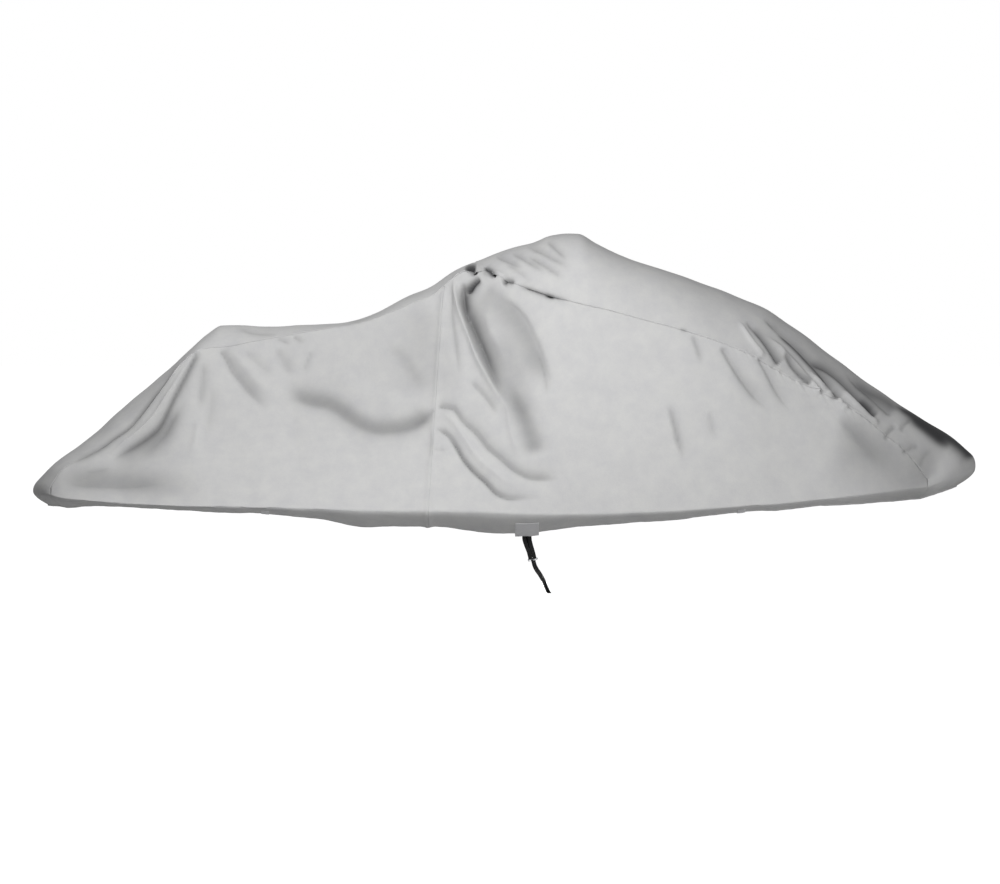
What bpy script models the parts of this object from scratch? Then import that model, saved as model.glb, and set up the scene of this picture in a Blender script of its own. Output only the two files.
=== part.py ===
"""Fitted cover for a personal watercraft, as it sits on the craft with its belly strap taut.

Metres. +X points to the bow, +Y to port, +Z up. The origin is under the cloth at the
highest point, over the handlebar. The craft itself is not part of the model.
"""
import math

import bpy
import numpy as np
from mathutils import Matrix, Vector

# ---- driving dimensions -------------------------------------------------------------
CLOTH = 0.002            # thickness of the coated cloth with its seam allowances
EDGE_GAP = 0.0003        # each panel stops this far short of a shoulder seam
CROSS_GAP = 0.0006       # the same at the cross seams, which pass through creases
TIP_GAP = 0.0015         # the same at the pointed ends of the side panels
TAB_LIFT = 0.001         # a hem tab stands this far off the cloth it is sewn to
WEBBING = 0.0015         # thickness of the webbing
STRAP_WIDTH = 0.0125
TAB_HEIGHT_SHARE = 0.62  # share of the rolled hem that a tab covers
PATCH_DROP = 0.010       # the wide tabs reach this far below the hem, over the strap's ends

STERN_X = -1.686         # where the seams cross the gunwale at the transom's corners
BOW_X = 1.190            # and beside the nose
SIDE_SEAM_X = -0.425     # upright seam between the rear and front side panels
TOP_SEAM_X = -0.310      # cross seam between the seat panel and the hood panel
SEAM_LEAN = 0.048        # the upright seam leans this far forward at its top
SEAM_LEAN_SPAN = 0.13

WALL_COLUMNS = 13        # quads between the shoulder seam and the gunwale
PORT_WALL_COLUMNS = 9
ROLL_COLUMNS = 3         # quads over the rolled hem
TOP_COLUMNS = 10         # quads across the top panels
ROLL_BULGE = 0.004       # the hem swells out this far before it turns under
HEM_TUCK = 0.012         # and ends this far inside the gunwale, and further by
TUCK_PER_DROP = 0.95     # this share of its own drop
ROLL_POWER = 1.4         # above 1, so the roll starts upright and then turns in

# Centre line of the top: x, z.
RIDGE = (
    (-1.731, -0.808), (-1.673, -0.750), (-1.600, -0.697), (-1.525, -0.633),
    (-1.427, -0.543), (-1.328, -0.459), (-1.230, -0.371), (-1.175, -0.325),
    (-1.128, -0.297), (-1.060, -0.300), (-0.984, -0.307), (-0.886, -0.302),
    (-0.770, -0.295), (-0.689, -0.282), (-0.615, -0.253), (-0.541, -0.210),
    (-0.443, -0.166), (-0.370, -0.116), (-0.325, -0.096), (-0.270, -0.074),
    (-0.197, -0.047), (-0.110, -0.026), (-0.045, -0.003), (0.000, 0.002),
    (0.045, 0.000), (0.098, -0.026), (0.180, -0.068), (0.270, -0.100),
    (0.394, -0.139), (0.541, -0.195), (0.655, -0.240), (0.738, -0.293),
    (0.886, -0.401), (1.033, -0.507), (1.181, -0.611), (1.270, -0.665),
    (1.336, -0.722),
)

# Sections of the starboard half: station x, shoulder seam y and z, gunwale y and z,
# drop of the hem below the gunwale, inward hollow of the wall, roundness of the top.
SECTION_COLUMNS = ("x", "seam_y", "seam_z", "edge_y", "edge_z", "drop", "hollow", "round")
SECTIONS = (
    (-1.686, 0.425, -0.832, 0.440, -0.852, 0.040, 0.000, 3.0),
    (-1.650, 0.410, -0.776, 0.472, -0.862, 0.036, 0.002, 3.0),
    (-1.580, 0.378, -0.730, 0.507, -0.869, 0.026, 0.006, 3.0),
    (-1.512, 0.347, -0.690, 0.530, -0.874, 0.021, 0.010, 3.0),
    (-1.433, 0.310, -0.634, 0.545, -0.880, 0.019, 0.014, 3.0),
    (-1.341, 0.268, -0.527, 0.556, -0.884, 0.019, 0.020, 3.0),
    (-1.270, 0.235, -0.430, 0.563, -0.887, 0.020, 0.024, 3.0),
    (-1.197, 0.203, -0.376, 0.568, -0.889, 0.021, 0.026, 3.0),
    (-1.110, 0.182, -0.369, 0.573, -0.891, 0.022, 0.026, 2.6),
    (-1.000, 0.170, -0.350, 0.579, -0.893, 0.023, 0.026, 2.6),
    (-0.900, 0.160, -0.331, 0.584, -0.896, 0.028, 0.026, 2.6),
    (-0.780, 0.152, -0.311, 0.589, -0.899, 0.040, 0.026, 2.4),
    (-0.660, 0.150, -0.288, 0.593, -0.903, 0.056, 0.024, 2.4),
    (-0.541, 0.150, -0.238, 0.596, -0.905, 0.052, 0.020, 2.4),
    (-0.440, 0.155, -0.195, 0.598, -0.905, 0.051, 0.014, 2.2),
    (-0.325, 0.172, -0.114, 0.600, -0.907, 0.064, 0.006, 2.2),
    (-0.249, 0.225, -0.120, 0.601, -0.909, 0.071, 0.000, 2.6),
    (-0.190, 0.272, -0.151, 0.601, -0.912, 0.071, -0.006, 3.0),
    (-0.110, 0.320, -0.182, 0.600, -0.915, 0.067, -0.012, 3.4),
    (-0.030, 0.350, -0.209, 0.599, -0.916, 0.055, -0.015, 3.6),
    (0.095, 0.372, -0.239, 0.596, -0.914, 0.042, -0.016, 3.6),
    (0.243, 0.380, -0.276, 0.591, -0.909, 0.036, -0.016, 3.4),
    (0.384, 0.379, -0.315, 0.582, -0.902, 0.032, -0.014, 3.0),
    (0.505, 0.372, -0.354, 0.568, -0.894, 0.026, -0.012, 2.6),
    (0.617, 0.362, -0.400, 0.547, -0.886, 0.024, -0.010, 2.4),
    (0.705, 0.352, -0.452, 0.522, -0.880, 0.026, -0.008, 2.3),
    (0.813, 0.340, -0.505, 0.484, -0.869, 0.026, -0.006, 2.2),
    (0.895, 0.330, -0.545, 0.449, -0.861, 0.028, -0.004, 2.2),
    (0.968, 0.322, -0.590, 0.414, -0.853, 0.032, -0.003, 2.0),
    (1.036, 0.314, -0.643, 0.378, -0.845, 0.036, -0.002, 2.0),
    (1.118, 0.296, -0.714, 0.327, -0.836, 0.040, 0.000, 2.0),
    (1.190, 0.262, -0.808, 0.275, -0.828, 0.042, 0.000, 2.0),
)

# Ends of the plan outline between the two corner seams: how far the middle stands out
# past the corners, the power of the curve, and the middle's gunwale height and drop.
ENDS = {
    "stern": {"x": STERN_X, "out": -0.061, "power": 4.0, "edge_z": -0.845, "drop": 0.046,
              "body_out": -0.045, "blend_from": -1.450},
    "bow": {"x": BOW_X, "out": 0.160, "power": 2.0, "edge_z": -0.772, "drop": 0.058,
            "body_out": 0.146, "blend_from": 0.780},
}

# Main folds, seen from the side: depth (below zero is a trough), half width, how sharply
# the start and the end fade in (share of the length), and the path as x, z points.
FOLD_COLUMNS = ("depth", "width", "fade_in", "fade_out", "path")
STARBOARD_FOLDS = (
    # stern: creases that run from the seat's corner down to the transom
    (-0.012, 0.020, 0.10, 0.30, ((-1.200, -0.385), (-1.255, -0.495), (-1.325, -0.600), (-1.395, -0.680),
                                 (-1.490, -0.742))),
    (0.008, 0.024, 0.20, 0.30, ((-1.245, -0.420), (-1.315, -0.535), (-1.400, -0.640), (-1.520, -0.715))),
    (-0.007, 0.026, 0.20, 0.40, ((-1.178, -0.430), (-1.197, -0.570), (-1.214, -0.705))),
    (-0.010, 0.026, 0.15, 0.40, ((-1.135, -0.385), (-1.098, -0.433), (-1.062, -0.492), (-0.978, -0.564))),
    (0.006, 0.030, 0.20, 0.40, ((-1.100, -0.385), (-1.040, -0.440), (-0.960, -0.500))),
    (-0.006, 0.030, 0.30, 0.40, ((-0.948, -0.394), (-0.899, -0.449))),
    # broad slack trough across the rear side panel, up to the upright seam
    (-0.020, 0.046, 0.25, 0.15, ((-0.918, -0.505), (-0.869, -0.528), (-0.761, -0.558), (-0.682, -0.617),
                                 (-0.590, -0.636), (-0.502, -0.620), (-0.432, -0.572))),
    (0.010, 0.050, 0.25, 0.20, ((-0.850, -0.455), (-0.740, -0.485), (-0.640, -0.545), (-0.540, -0.550))),
    # creases that fan forward from the pinch on the upright seam
    (-0.013, 0.022, 0.05, 0.30, ((-0.430, -0.567), (-0.354, -0.581), (-0.279, -0.640), (-0.239, -0.708),
                                 (-0.164, -0.764), (-0.102, -0.800), (-0.023, -0.804))),
    (-0.011, 0.018, 0.05, 0.30, ((-0.417, -0.633), (-0.341, -0.725), (-0.289, -0.784), (-0.220, -0.846),
                                 (-0.102, -0.859))),
    (0.009, 0.026, 0.10, 0.30, ((-0.400, -0.600), (-0.320, -0.665), (-0.260, -0.745), (-0.180, -0.815))),
    # deep fold behind the handlebar and the ridges beside it
    (-0.034, 0.026, 0.18, 0.25, ((-0.334, -0.105), (-0.334, -0.207), (-0.289, -0.331), (-0.266, -0.394),
                                 (-0.233, -0.482), (-0.200, -0.545))),
    (0.016, 0.026, 0.15, 0.25, ((-0.364, -0.141), (-0.354, -0.236), (-0.302, -0.361), (-0.259, -0.456),
                                (-0.210, -0.551))),
    (-0.018, 0.045, 0.10, 0.25, ((-0.225, -0.280), (-0.195, -0.400), (-0.150, -0.500), (-0.118, -0.600),
                                 (-0.120, -0.700))),
    (0.013, 0.026, 0.10, 0.25, ((-0.180, -0.235), (-0.100, -0.345), (-0.062, -0.440), (-0.045, -0.520),
                                (-0.050, -0.600))),
    # front side panel
    (-0.006, 0.016, 0.15, 0.40, ((0.515, -0.380), (0.558, -0.446), (0.597, -0.502), (0.646, -0.551))),
    (-0.006, 0.016, 0.15, 0.40, ((0.646, -0.426), (0.679, -0.485), (0.708, -0.544))),
    (-0.006, 0.018, 0.25, 0.35, ((0.341, -0.571), (0.361, -0.649), (0.384, -0.728))),
    (-0.004, 0.014, 0.20, 0.40, ((0.426, -0.345), (0.446, -0.426))),
    (-0.008, 0.022, 0.15, 0.40, ((0.876, -0.560), (0.915, -0.620), (0.980, -0.690), (1.050, -0.745))),
    # gathers of the hood above its seam near the bow
    (-0.014, 0.018, 0.30, 0.08, ((0.587, -0.290), (0.640, -0.345), (0.700, -0.420))),
    (0.008, 0.016, 0.30, 0.08, ((0.615, -0.283), (0.672, -0.345), (0.735, -0.437))),
    (-0.018, 0.017, 0.30, 0.08, ((0.646, -0.294), (0.715, -0.350), (0.780, -0.415), (0.855, -0.500))),
    (0.010, 0.016, 0.30, 0.08, ((0.690, -0.300), (0.760, -0.370), (0.830, -0.440), (0.900, -0.520))),
    (-0.016, 0.017, 0.30, 0.08, ((0.755, -0.330), (0.835, -0.400), (0.925, -0.480), (1.000, -0.570))),
    (0.009, 0.016, 0.30, 0.08, ((0.830, -0.375), (0.905, -0.445), (0.985, -0.535), (1.040, -0.600))),
    (-0.012, 0.018, 0.30, 0.10, ((0.900, -0.425), (0.985, -0.505), (1.060, -0.600), (1.105, -0.680))),
    # screen: slanting wrinkles on the hood beside the peak
    (-0.007, 0.016, 0.30, 0.30, ((-0.213, -0.060), (-0.130, -0.100), (-0.066, -0.135))),
    (-0.007, 0.016, 0.30, 0.30, ((-0.130, -0.040), (-0.070, -0.075), (-0.020, -0.115))),
)
PORT_FOLDS = (
    (-0.011, 0.021, 0.10, 0.30, ((-1.195, -0.390), (-1.265, -0.520), (-1.370, -0.650), (-1.500, -0.735))),
    (0.007, 0.026, 0.20, 0.30, ((-1.240, -0.430), (-1.350, -0.580), (-1.470, -0.690))),
    (-0.009, 0.028, 0.15, 0.40, ((-1.125, -0.390), (-1.075, -0.470), (-1.000, -0.550))),
    (-0.017, 0.050, 0.25, 0.15, ((-0.960, -0.560), (-0.820, -0.600), (-0.680, -0.650), (-0.550, -0.660),
                                 (-0.430, -0.610))),
    (0.009, 0.050, 0.25, 0.20, ((-0.850, -0.500), (-0.700, -0.545), (-0.540, -0.580))),
    (-0.012, 0.024, 0.05, 0.30, ((-0.420, -0.610), (-0.330, -0.640), (-0.250, -0.730), (-0.140, -0.800))),
    (-0.030, 0.028, 0.18, 0.25, ((-0.330, -0.105), (-0.322, -0.220), (-0.285, -0.350), (-0.240, -0.470),
                                 (-0.215, -0.560))),
    (0.014, 0.028, 0.15, 0.25, ((-0.368, -0.150), (-0.350, -0.280), (-0.300, -0.400), (-0.250, -0.520))),
    (-0.015, 0.046, 0.10, 0.25, ((-0.215, -0.290), (-0.170, -0.420), (-0.130, -0.540), (-0.125, -0.640))),
    (0.011, 0.028, 0.10, 0.25, ((-0.160, -0.240), (-0.085, -0.380), (-0.050, -0.500))),
    (-0.006, 0.018, 0.15, 0.40, ((0.480, -0.370), (0.530, -0.450), (0.600, -0.530))),
    (-0.007, 0.020, 0.15, 0.40, ((0.800, -0.520), (0.860, -0.600), (0.940, -0.680))),
    (-0.012, 0.021, 0.30, 0.16, ((0.610, -0.290), (0.680, -0.360), (0.750, -0.450))),
    (-0.012, 0.022, 0.30, 0.20, ((0.700, -0.320), (0.780, -0.395), (0.870, -0.490))),
    (0.007, 0.020, 0.30, 0.20, ((0.745, -0.330), (0.835, -0.420), (0.915, -0.520))),
    (-0.012, 0.022, 0.30, 0.20, ((0.800, -0.360), (0.890, -0.440), (0.980, -0.540))),
    (-0.011, 0.020, 0.30, 0.10, ((0.920, -0.440), (1.000, -0.530), (1.080, -0.640))),
    (-0.006, 0.018, 0.30, 0.30, ((-0.190, -0.060), (-0.110, -0.095), (-0.050, -0.130))),
)

# Slow unevenness of the taut cloth: height, waves per metre along x and z, phase.
WAVES = ((0.0024, 5.1, 2.3, 0.4), (0.0018, 8.7, -3.9, 1.9), (0.0013, -6.4, 9.1, 4.0))

# Hem tabs: name, x of the middle, width, reaches over the strap.
TABS = (
    ("aft", -0.981, 0.026, False),
    ("strap", -0.125, 0.078, True),
    ("fore", 0.574, 0.026, False),
)

# Strap: from the starboard hem to the slider, then under the keel to the port hem.
LEG_TOP_SPREAD = 0.0185   # distance between the two legs at the hem
LEG_FOOT_SPREAD = 0.0138
LEG_CLEAR = 0.0010        # between the slider and the webbing's ends
SLIDER = {"centre": (-0.106, -0.5020, -1.0640), "top": (-0.125, -0.520, -0.985),
          "width": 0.032, "height": 0.0065, "depth": 0.0032}
STRAP_PATH = (
    (-0.1045, -0.5010, -1.0690), (-0.0980, -0.4850, -1.0920), (-0.0820, -0.4280, -1.1180),
    (-0.0700, -0.3300, -1.1390), (-0.0600, -0.1900, -1.1620), (-0.0520, -0.0600, -1.1780),
    (-0.0490, 0.0000, -1.1800), (-0.0520, 0.0600, -1.1780), (-0.0600, 0.1900, -1.1620),
    (-0.0700, 0.3300, -1.1390), (-0.0820, 0.4280, -1.1180), (-0.0980, 0.4850, -1.0920),
    (-0.1060, 0.5020, -1.0600),
)
STRAP_ROWS = 56
LEG_ROWS = 8
STRAP_DROP = 0.0030       # the strap's ends start this far below the hem


# ---- small helpers ------------------------------------------------------------------
def clear_scene():
    for obj in list(bpy.data.objects):
        bpy.data.objects.remove(obj, do_unlink=True)


def smooth_step(value):
    value = np.clip(value, 0.0, 1.0)
    return value * value * (3.0 - 2.0 * value)


def smooth_column(xs, ys):
    """A cubic through the rows that never overshoots them, as a function of x."""
    xs = np.asarray(xs, float)
    ys = np.asarray(ys, float)
    run = np.diff(xs)
    rise = np.diff(ys) / run
    slope = np.zeros_like(ys)
    slope[0] = rise[0]
    slope[-1] = rise[-1]
    same_way = rise[:-1] * rise[1:] > 0.0
    weight_a = 2.0 * run[1:] + run[:-1]
    weight_b = run[1:] + 2.0 * run[:-1]
    safe_a = np.where(same_way, rise[:-1], 1.0)
    safe_b = np.where(same_way, rise[1:], 1.0)
    mean = (weight_a + weight_b) / (weight_a / safe_a + weight_b / safe_b)
    slope[1:-1] = np.where(same_way, mean, 0.0)

    def value(x):
        x = np.clip(np.asarray(x, float), xs[0], xs[-1])
        i = np.clip(np.searchsorted(xs, x, side="right") - 1, 0, len(xs) - 2)
        t = (x - xs[i]) / run[i]
        keep = (1.0 + 2.0 * t) * (1.0 - t) ** 2 * ys[i] + t * t * (3.0 - 2.0 * t) * ys[i + 1]
        lean = (t * (1.0 - t) ** 2 * slope[i] - t * t * (1.0 - t) * slope[i + 1]) * run[i]
        return keep + lean

    return value


def unit(vectors):
    length = np.linalg.norm(vectors, axis=-1, keepdims=True)
    return vectors / np.maximum(length, 1e-9)


ridge_z = smooth_column(*zip(*RIDGE))
section = {
    name: smooth_column([row[0] for row in SECTIONS], [row[k] for row in SECTIONS])
    for k, name in enumerate(SECTION_COLUMNS)
    if k > 0
}


# ---- the cover's surface ------------------------------------------------------------
def rolled(edge, outward, drop, share):
    """The hem's roll: out a little from the gunwale, then down and back under it."""
    tuck = HEM_TUCK + TUCK_PER_DROP * drop
    out = ROLL_BULGE * np.sin(math.pi * share) - tuck * share ** ROLL_POWER
    point = edge + outward * out[..., None]
    point[..., 2] -= drop * share
    return point


def side_outward(x):
    step = 0.004
    low = np.clip(x - step, STERN_X, BOW_X)
    high = np.clip(x + step, STERN_X, BOW_X)
    slope = (section["edge_y"](high) - section["edge_y"](low)) / (high - low)
    return unit(np.stack([-slope, np.ones_like(slope), np.zeros_like(slope)], axis=-1))


def side_surface(stations, wall_columns):
    """Port half's side: rows along x, columns from the shoulder seam to the hem."""
    share = np.linspace(0.0, 1.0, wall_columns + 1)[None, :]
    start = stations[:, None]
    lean = SEAM_LEAN * np.exp(-((start - SIDE_SEAM_X) / SEAM_LEAN_SPAN) ** 2)
    x = start + lean * (0.5 - share)
    across = section["edge_y"](x) - section["seam_y"](x)
    down = section["seam_z"](x) - section["edge_z"](x)
    length = np.hypot(across, down)
    inward = section["hollow"](x) * np.sin(math.pi * share)
    y = section["seam_y"](x) + across * share - inward * down / length
    z = section["seam_z"](x) - down * share - inward * across / length
    wall = np.stack([x, y, z], axis=-1)
    turn = np.linspace(0.0, 1.0, ROLL_COLUMNS + 1)[None, 1:] * np.ones_like(start)
    foot_x = (start - 0.5 * lean) * np.ones_like(turn)
    edge = np.stack([foot_x, section["edge_y"](foot_x), section["edge_z"](foot_x)], axis=-1)
    roll = rolled(edge, side_outward(foot_x), section["drop"](foot_x), turn)
    return np.concatenate([wall, roll], axis=1)


def body_out(x):
    stern = ENDS["stern"]
    bow = ENDS["bow"]
    aft = stern["body_out"] * smooth_step((stern["blend_from"] - x) / (stern["blend_from"] - STERN_X))
    fore = bow["body_out"] * smooth_step((x - bow["blend_from"]) / (BOW_X - bow["blend_from"]))
    return aft + fore


def top_surface(stations, across):
    """Body of the top: rows along x, columns from starboard seam to port seam."""
    v = across[None, :]
    start = seam_station(stations)[:, None]
    power = np.where(start < 0.0, ENDS["stern"]["power"], ENDS["bow"]["power"])
    x = start + body_out(start) * (1.0 - np.abs(v) ** power)
    y = section["seam_y"](start) * v
    weight = np.abs(v) ** section["round"](start)
    z = ridge_z(x) * (1.0 - weight) + section["seam_z"](start) * weight
    return np.stack([x * np.ones_like(v), y, z], axis=-1)


def seam_station(stations):
    """Where a leaning section meets the shoulder seam."""
    lean = SEAM_LEAN * np.exp(-((stations - SIDE_SEAM_X) / SEAM_LEAN_SPAN) ** 2)
    return stations + 0.5 * lean


def end_rows(end, across):
    """The gunwale and rolled hem across the transom or the nose, from top to hem."""
    data = ENDS[end]
    v = across
    edge_y = float(section["edge_y"](data["x"]))
    weight = np.abs(v) ** data["power"]
    x = data["x"] + data["out"] * (1.0 - weight)
    z = data["edge_z"] + (float(section["edge_z"](data["x"])) - data["edge_z"]) * weight
    edge = np.stack([x, edge_y * v, z], axis=-1)
    drop = data["drop"] + (float(section["drop"](data["x"])) - data["drop"]) * weight
    slope = data["out"] * data["power"] * np.sign(v) * np.abs(v) ** (data["power"] - 1.0) / edge_y
    facing = math.copysign(1.0, data["out"])
    outward = unit(np.stack([facing * np.ones_like(v), facing * slope, np.zeros_like(v)], axis=-1))
    corner = side_outward(np.array([data["x"]]))[0]
    corner = np.stack([corner[0] * np.ones_like(v), corner[1] * np.sign(v), np.zeros_like(v)], axis=-1)
    corner_share = (np.abs(v) ** 6)[:, None]
    outward = unit(outward * (1.0 - corner_share) + corner * corner_share)
    turns = np.linspace(0.0, 1.0, ROLL_COLUMNS + 1)
    return np.stack([rolled(edge.copy(), outward, drop, turn * np.ones_like(v)) for turn in turns])


def facing_out(points):
    """Unit normals of a grid of points, turned away from the hollow inside."""
    normals = unit(np.cross(np.gradient(points, axis=0), np.gradient(points, axis=1)))
    core = np.array([0.0, 0.0, -0.75])
    if np.sum(normals * (points - core)) < 0.0:
        normals = -normals
    return normals


def shared_normals(blocks):
    """Normals of every block, averaged where two blocks meet on a seam."""
    normals = {name: facing_out(points) for name, points in blocks.items()}
    sums = {}
    for name, points in blocks.items():
        keys = np.round(points.reshape(-1, 3) * 20000.0).astype(int)
        for key, normal in zip(map(tuple, keys), normals[name].reshape(-1, 3)):
            sums[key] = sums.get(key, 0.0) + normal
    for name, points in blocks.items():
        keys = np.round(points.reshape(-1, 3) * 20000.0).astype(int)
        mean = np.array([sums[key] for key in map(tuple, keys)])
        normals[name] = unit(mean).reshape(points.shape)
    return normals


# ---- folds --------------------------------------------------------------------------
def fold_height(x, z, fold):
    """Height of one fold at x, z: a soft trough or ridge along its path, faded at the ends."""
    fold = dict(zip(FOLD_COLUMNS, fold))
    path = np.array(fold["path"])
    legs = np.diff(path, axis=0)
    lengths = np.linalg.norm(legs, axis=1)
    before = np.concatenate([[0.0], np.cumsum(lengths)[:-1]])
    nearest = np.full(x.shape, 1e9)
    along = np.zeros(x.shape)
    for start, leg, length, run in zip(path[:-1], legs, lengths, before):
        t = ((x - start[0]) * leg[0] + (z - start[1]) * leg[1]) / length ** 2
        t = np.clip(t, 0.0, 1.0)
        distance = np.hypot(x - start[0] - t * leg[0], z - start[1] - t * leg[1])
        closer = distance < nearest
        nearest = np.where(closer, distance, nearest)
        along = np.where(closer, (run + t * length) / lengths.sum(), along)
    fade = smooth_step(along / fold["fade_in"]) * smooth_step((1.0 - along) / fold["fade_out"])
    return fold["depth"] * fade * np.exp(-(nearest / fold["width"]) ** 2)


def relief(points, folds):
    """Height of the folds and of the slow unevenness, which is level at the origin."""
    x = points[..., 0]
    z = points[..., 2]
    height = np.zeros(x.shape)
    for fold in folds:
        height += fold_height(x, z, fold)
    for size, per_x, per_z, phase in WAVES:
        height += size * (np.sin(per_x * x + per_z * z + phase) - math.sin(phase))
    ends = smooth_step((x - STERN_X) / 0.12) * smooth_step((BOW_X - x) / 0.12)
    return height * ends


# ---- making objects -----------------------------------------------------------------
def make_material(name, color, roughness, metallic=0.0):
    material = bpy.data.materials.new(name)
    material.use_nodes = True
    shader = material.node_tree.nodes["Principled BSDF"]
    shader.inputs["Base Color"].default_value = (*color, 1.0)
    shader.inputs["Roughness"].default_value = roughness
    shader.inputs["Metallic"].default_value = metallic
    material.diffuse_color = (*color, 1.0)
    return material


def add_object(collection, name, vertices, faces, material):
    mesh = bpy.data.meshes.new(name)
    mesh.from_pydata(vertices, [], faces)
    mesh.validate()
    mesh.materials.append(material)
    obj = bpy.data.objects.new(name, mesh)
    collection.objects.link(obj)
    mesh.shade_smooth()
    mesh.set_sharp_from_angle(angle=math.radians(40.0))
    return obj


def grid_faces(rows, columns, first, flip):
    faces = []
    for i in range(rows - 1):
        for j in range(columns - 1):
            a = first + i * columns + j
            quad = (a, a + 1, a + columns + 1, a + columns)
            faces.append(quad[::-1] if flip else quad)
    return faces


def sheet_solid(collection, name, points, normals, thickness, material):
    """A closed sheet lofted over a grid of points, its thickness laid inwards."""
    rows, columns = points.shape[:2]
    inner = points - normals * thickness
    vertices = np.concatenate([points.reshape(-1, 3), inner.reshape(-1, 3)])
    first_inner = rows * columns
    facing = np.cross(points[1, 0] - points[0, 0], points[0, 1] - points[0, 0])
    flip = float(np.dot(facing, normals[0, 0])) > 0.0
    faces = grid_faces(rows, columns, 0, flip)
    faces += grid_faces(rows, columns, first_inner, not flip)
    rim = [j for j in range(columns)]
    rim += [i * columns + columns - 1 for i in range(1, rows)]
    rim += [(rows - 1) * columns + j for j in range(columns - 2, -1, -1)]
    rim += [i * columns for i in range(rows - 2, 0, -1)]
    for here, there in zip(rim, rim[1:] + rim[:1]):
        quad = (here, there, there + first_inner, here + first_inner)
        faces.append(quad if flip else quad[::-1])
    return add_object(collection, name, [tuple(v) for v in vertices], faces, material)


def pull_back(points, edge, gap):
    """Move one edge of a grid back into its panel by gap, along the grid's own lines."""
    moved = points.copy()
    if edge == "first_row":
        moved[0] += unit(points[1] - points[0]) * gap
    elif edge == "last_row":
        moved[-1] += unit(points[-2] - points[-1]) * gap
    elif edge == "first_column":
        moved[:, 0] += unit(points[:, 1] - points[:, 0]) * gap
    else:
        moved[:, -1] += unit(points[:, -2] - points[:, -1]) * gap
    return moved


# ---- the cover's pieces -------------------------------------------------------------
def station_rows():
    """Section stations: close together where the cloth is creased, wider elsewhere."""
    spans = (
        (STERN_X, -1.560, 4), (-1.560, -0.560, 22), (-0.560, SIDE_SEAM_X, 4),
        (SIDE_SEAM_X, TOP_SEAM_X, 4), (TOP_SEAM_X, 0.0, 12), (0.0, 0.560, 12),
        (0.560, 1.060, 19), (1.060, BOW_X, 5),
    )
    rows = [np.linspace(low, high, count + 1)[:-1] for low, high, count in spans]
    return np.concatenate(rows + [np.array([BOW_X])])


def mirrored(points):
    return points * np.array([1.0, -1.0, 1.0])


def build_surface():
    """Creased grids of the top and both sides, with shared normals."""
    stations = station_rows()
    across = np.linspace(-1.0, 1.0, TOP_COLUMNS + 1)
    stern = end_rows("stern", across)[::-1]
    bow = end_rows("bow", across)
    blocks = {
        "top": np.concatenate([stern, top_surface(stations, across), bow]),
        "port": side_surface(stations, PORT_WALL_COLUMNS),
        "starboard": mirrored(side_surface(stations, WALL_COLUMNS)),
    }
    normals = shared_normals(blocks)
    for name, points in blocks.items():
        starboard = relief(points, STARBOARD_FOLDS)
        port = relief(points, PORT_FOLDS)
        port_share = smooth_step(points[..., 1] / 0.08 + 0.5)
        height = starboard * (1.0 - port_share) + port * port_share
        blocks[name] = points + normals[name] * height[..., None]
    return stations, blocks, shared_normals(blocks)


def build_top(collection, stations, points, normals, material):
    seam_row = ROLL_COLUMNS + 1 + int(np.argmin(np.abs(stations - TOP_SEAM_X)))
    spans = {
        "seat_panel": (slice(0, seam_row + 1), "last_row"),
        "hood_panel": (slice(seam_row, None), "first_row"),
    }
    for name, (rows, cut_edge) in spans.items():
        grid = points[rows]
        grid = pull_back(grid, cut_edge, CROSS_GAP)
        for edge in ("first_column", "last_column"):
            grid = pull_back(grid, edge, EDGE_GAP)
        sheet_solid(collection, name, grid, normals[rows], CLOTH, material)


def build_side(collection, side, stations, points, normals, material):
    seam_row = int(np.argmin(np.abs(stations - SIDE_SEAM_X)))
    spans = {
        "side_rear_" + side: (slice(0, seam_row + 1), "last_row", "first_row"),
        "side_front_" + side: (slice(seam_row, None), "first_row", "last_row"),
    }
    for name, (rows, cut_edge, tip_edge) in spans.items():
        grid = pull_back(points[rows], cut_edge, CROSS_GAP)
        grid = pull_back(grid, tip_edge, TIP_GAP)
        grid = pull_back(grid, "first_column", EDGE_GAP)
        sheet_solid(collection, name, grid, normals[rows], CLOTH, material)


def sample_grid(grid, rows, columns):
    """Points between a grid's own, straight along its lines."""
    i = np.clip(rows.astype(int), 0, grid.shape[0] - 2)
    j = np.clip(columns.astype(int), 0, grid.shape[1] - 2)
    s = (rows - i)[:, None, None]
    t = (columns - j)[None, :, None]
    near = grid[i][:, j] * (1.0 - t) + grid[i][:, j + 1] * t
    far = grid[i + 1][:, j] * (1.0 - t) + grid[i + 1][:, j + 1] * t
    return near * (1.0 - s) + far * s


def with_whole_lines(low, high):
    """low, high and every whole number between them, so a tab bends where its cloth does."""
    whole = np.arange(math.floor(low) + 1, math.ceil(high))
    return np.concatenate([[low], whole, [high]]).astype(float)


def build_tabs(collection, side, points, normals, material):
    hem = points.shape[1] - 1
    feet = points[:, hem, 0]
    for name, middle, width, over_strap in TABS:
        low, high = np.interp([middle - width / 2.0, middle + width / 2.0], feet, np.arange(len(feet)))
        rows = with_whole_lines(low, high)
        columns = with_whole_lines(hem - ROLL_COLUMNS * TAB_HEIGHT_SHARE, hem - 0.02)
        grid = sample_grid(points, rows, columns)
        facing = unit(sample_grid(normals, rows, columns))
        outer = grid + facing * (TAB_LIFT + WEBBING)
        if over_strap:
            onward = unit(outer[:, -1] - outer[:, -2])
            onward = unit(onward + np.array([0.0, 0.0, -1.0]))
            outer = np.concatenate([outer, (outer[:, -1] + onward * PATCH_DROP)[:, None]], axis=1)
            facing = np.concatenate([facing, facing[:, -1:]], axis=1)
        sheet_solid(collection, "hem_tab_" + name + "_" + side, outer, facing, WEBBING, material)


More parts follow.
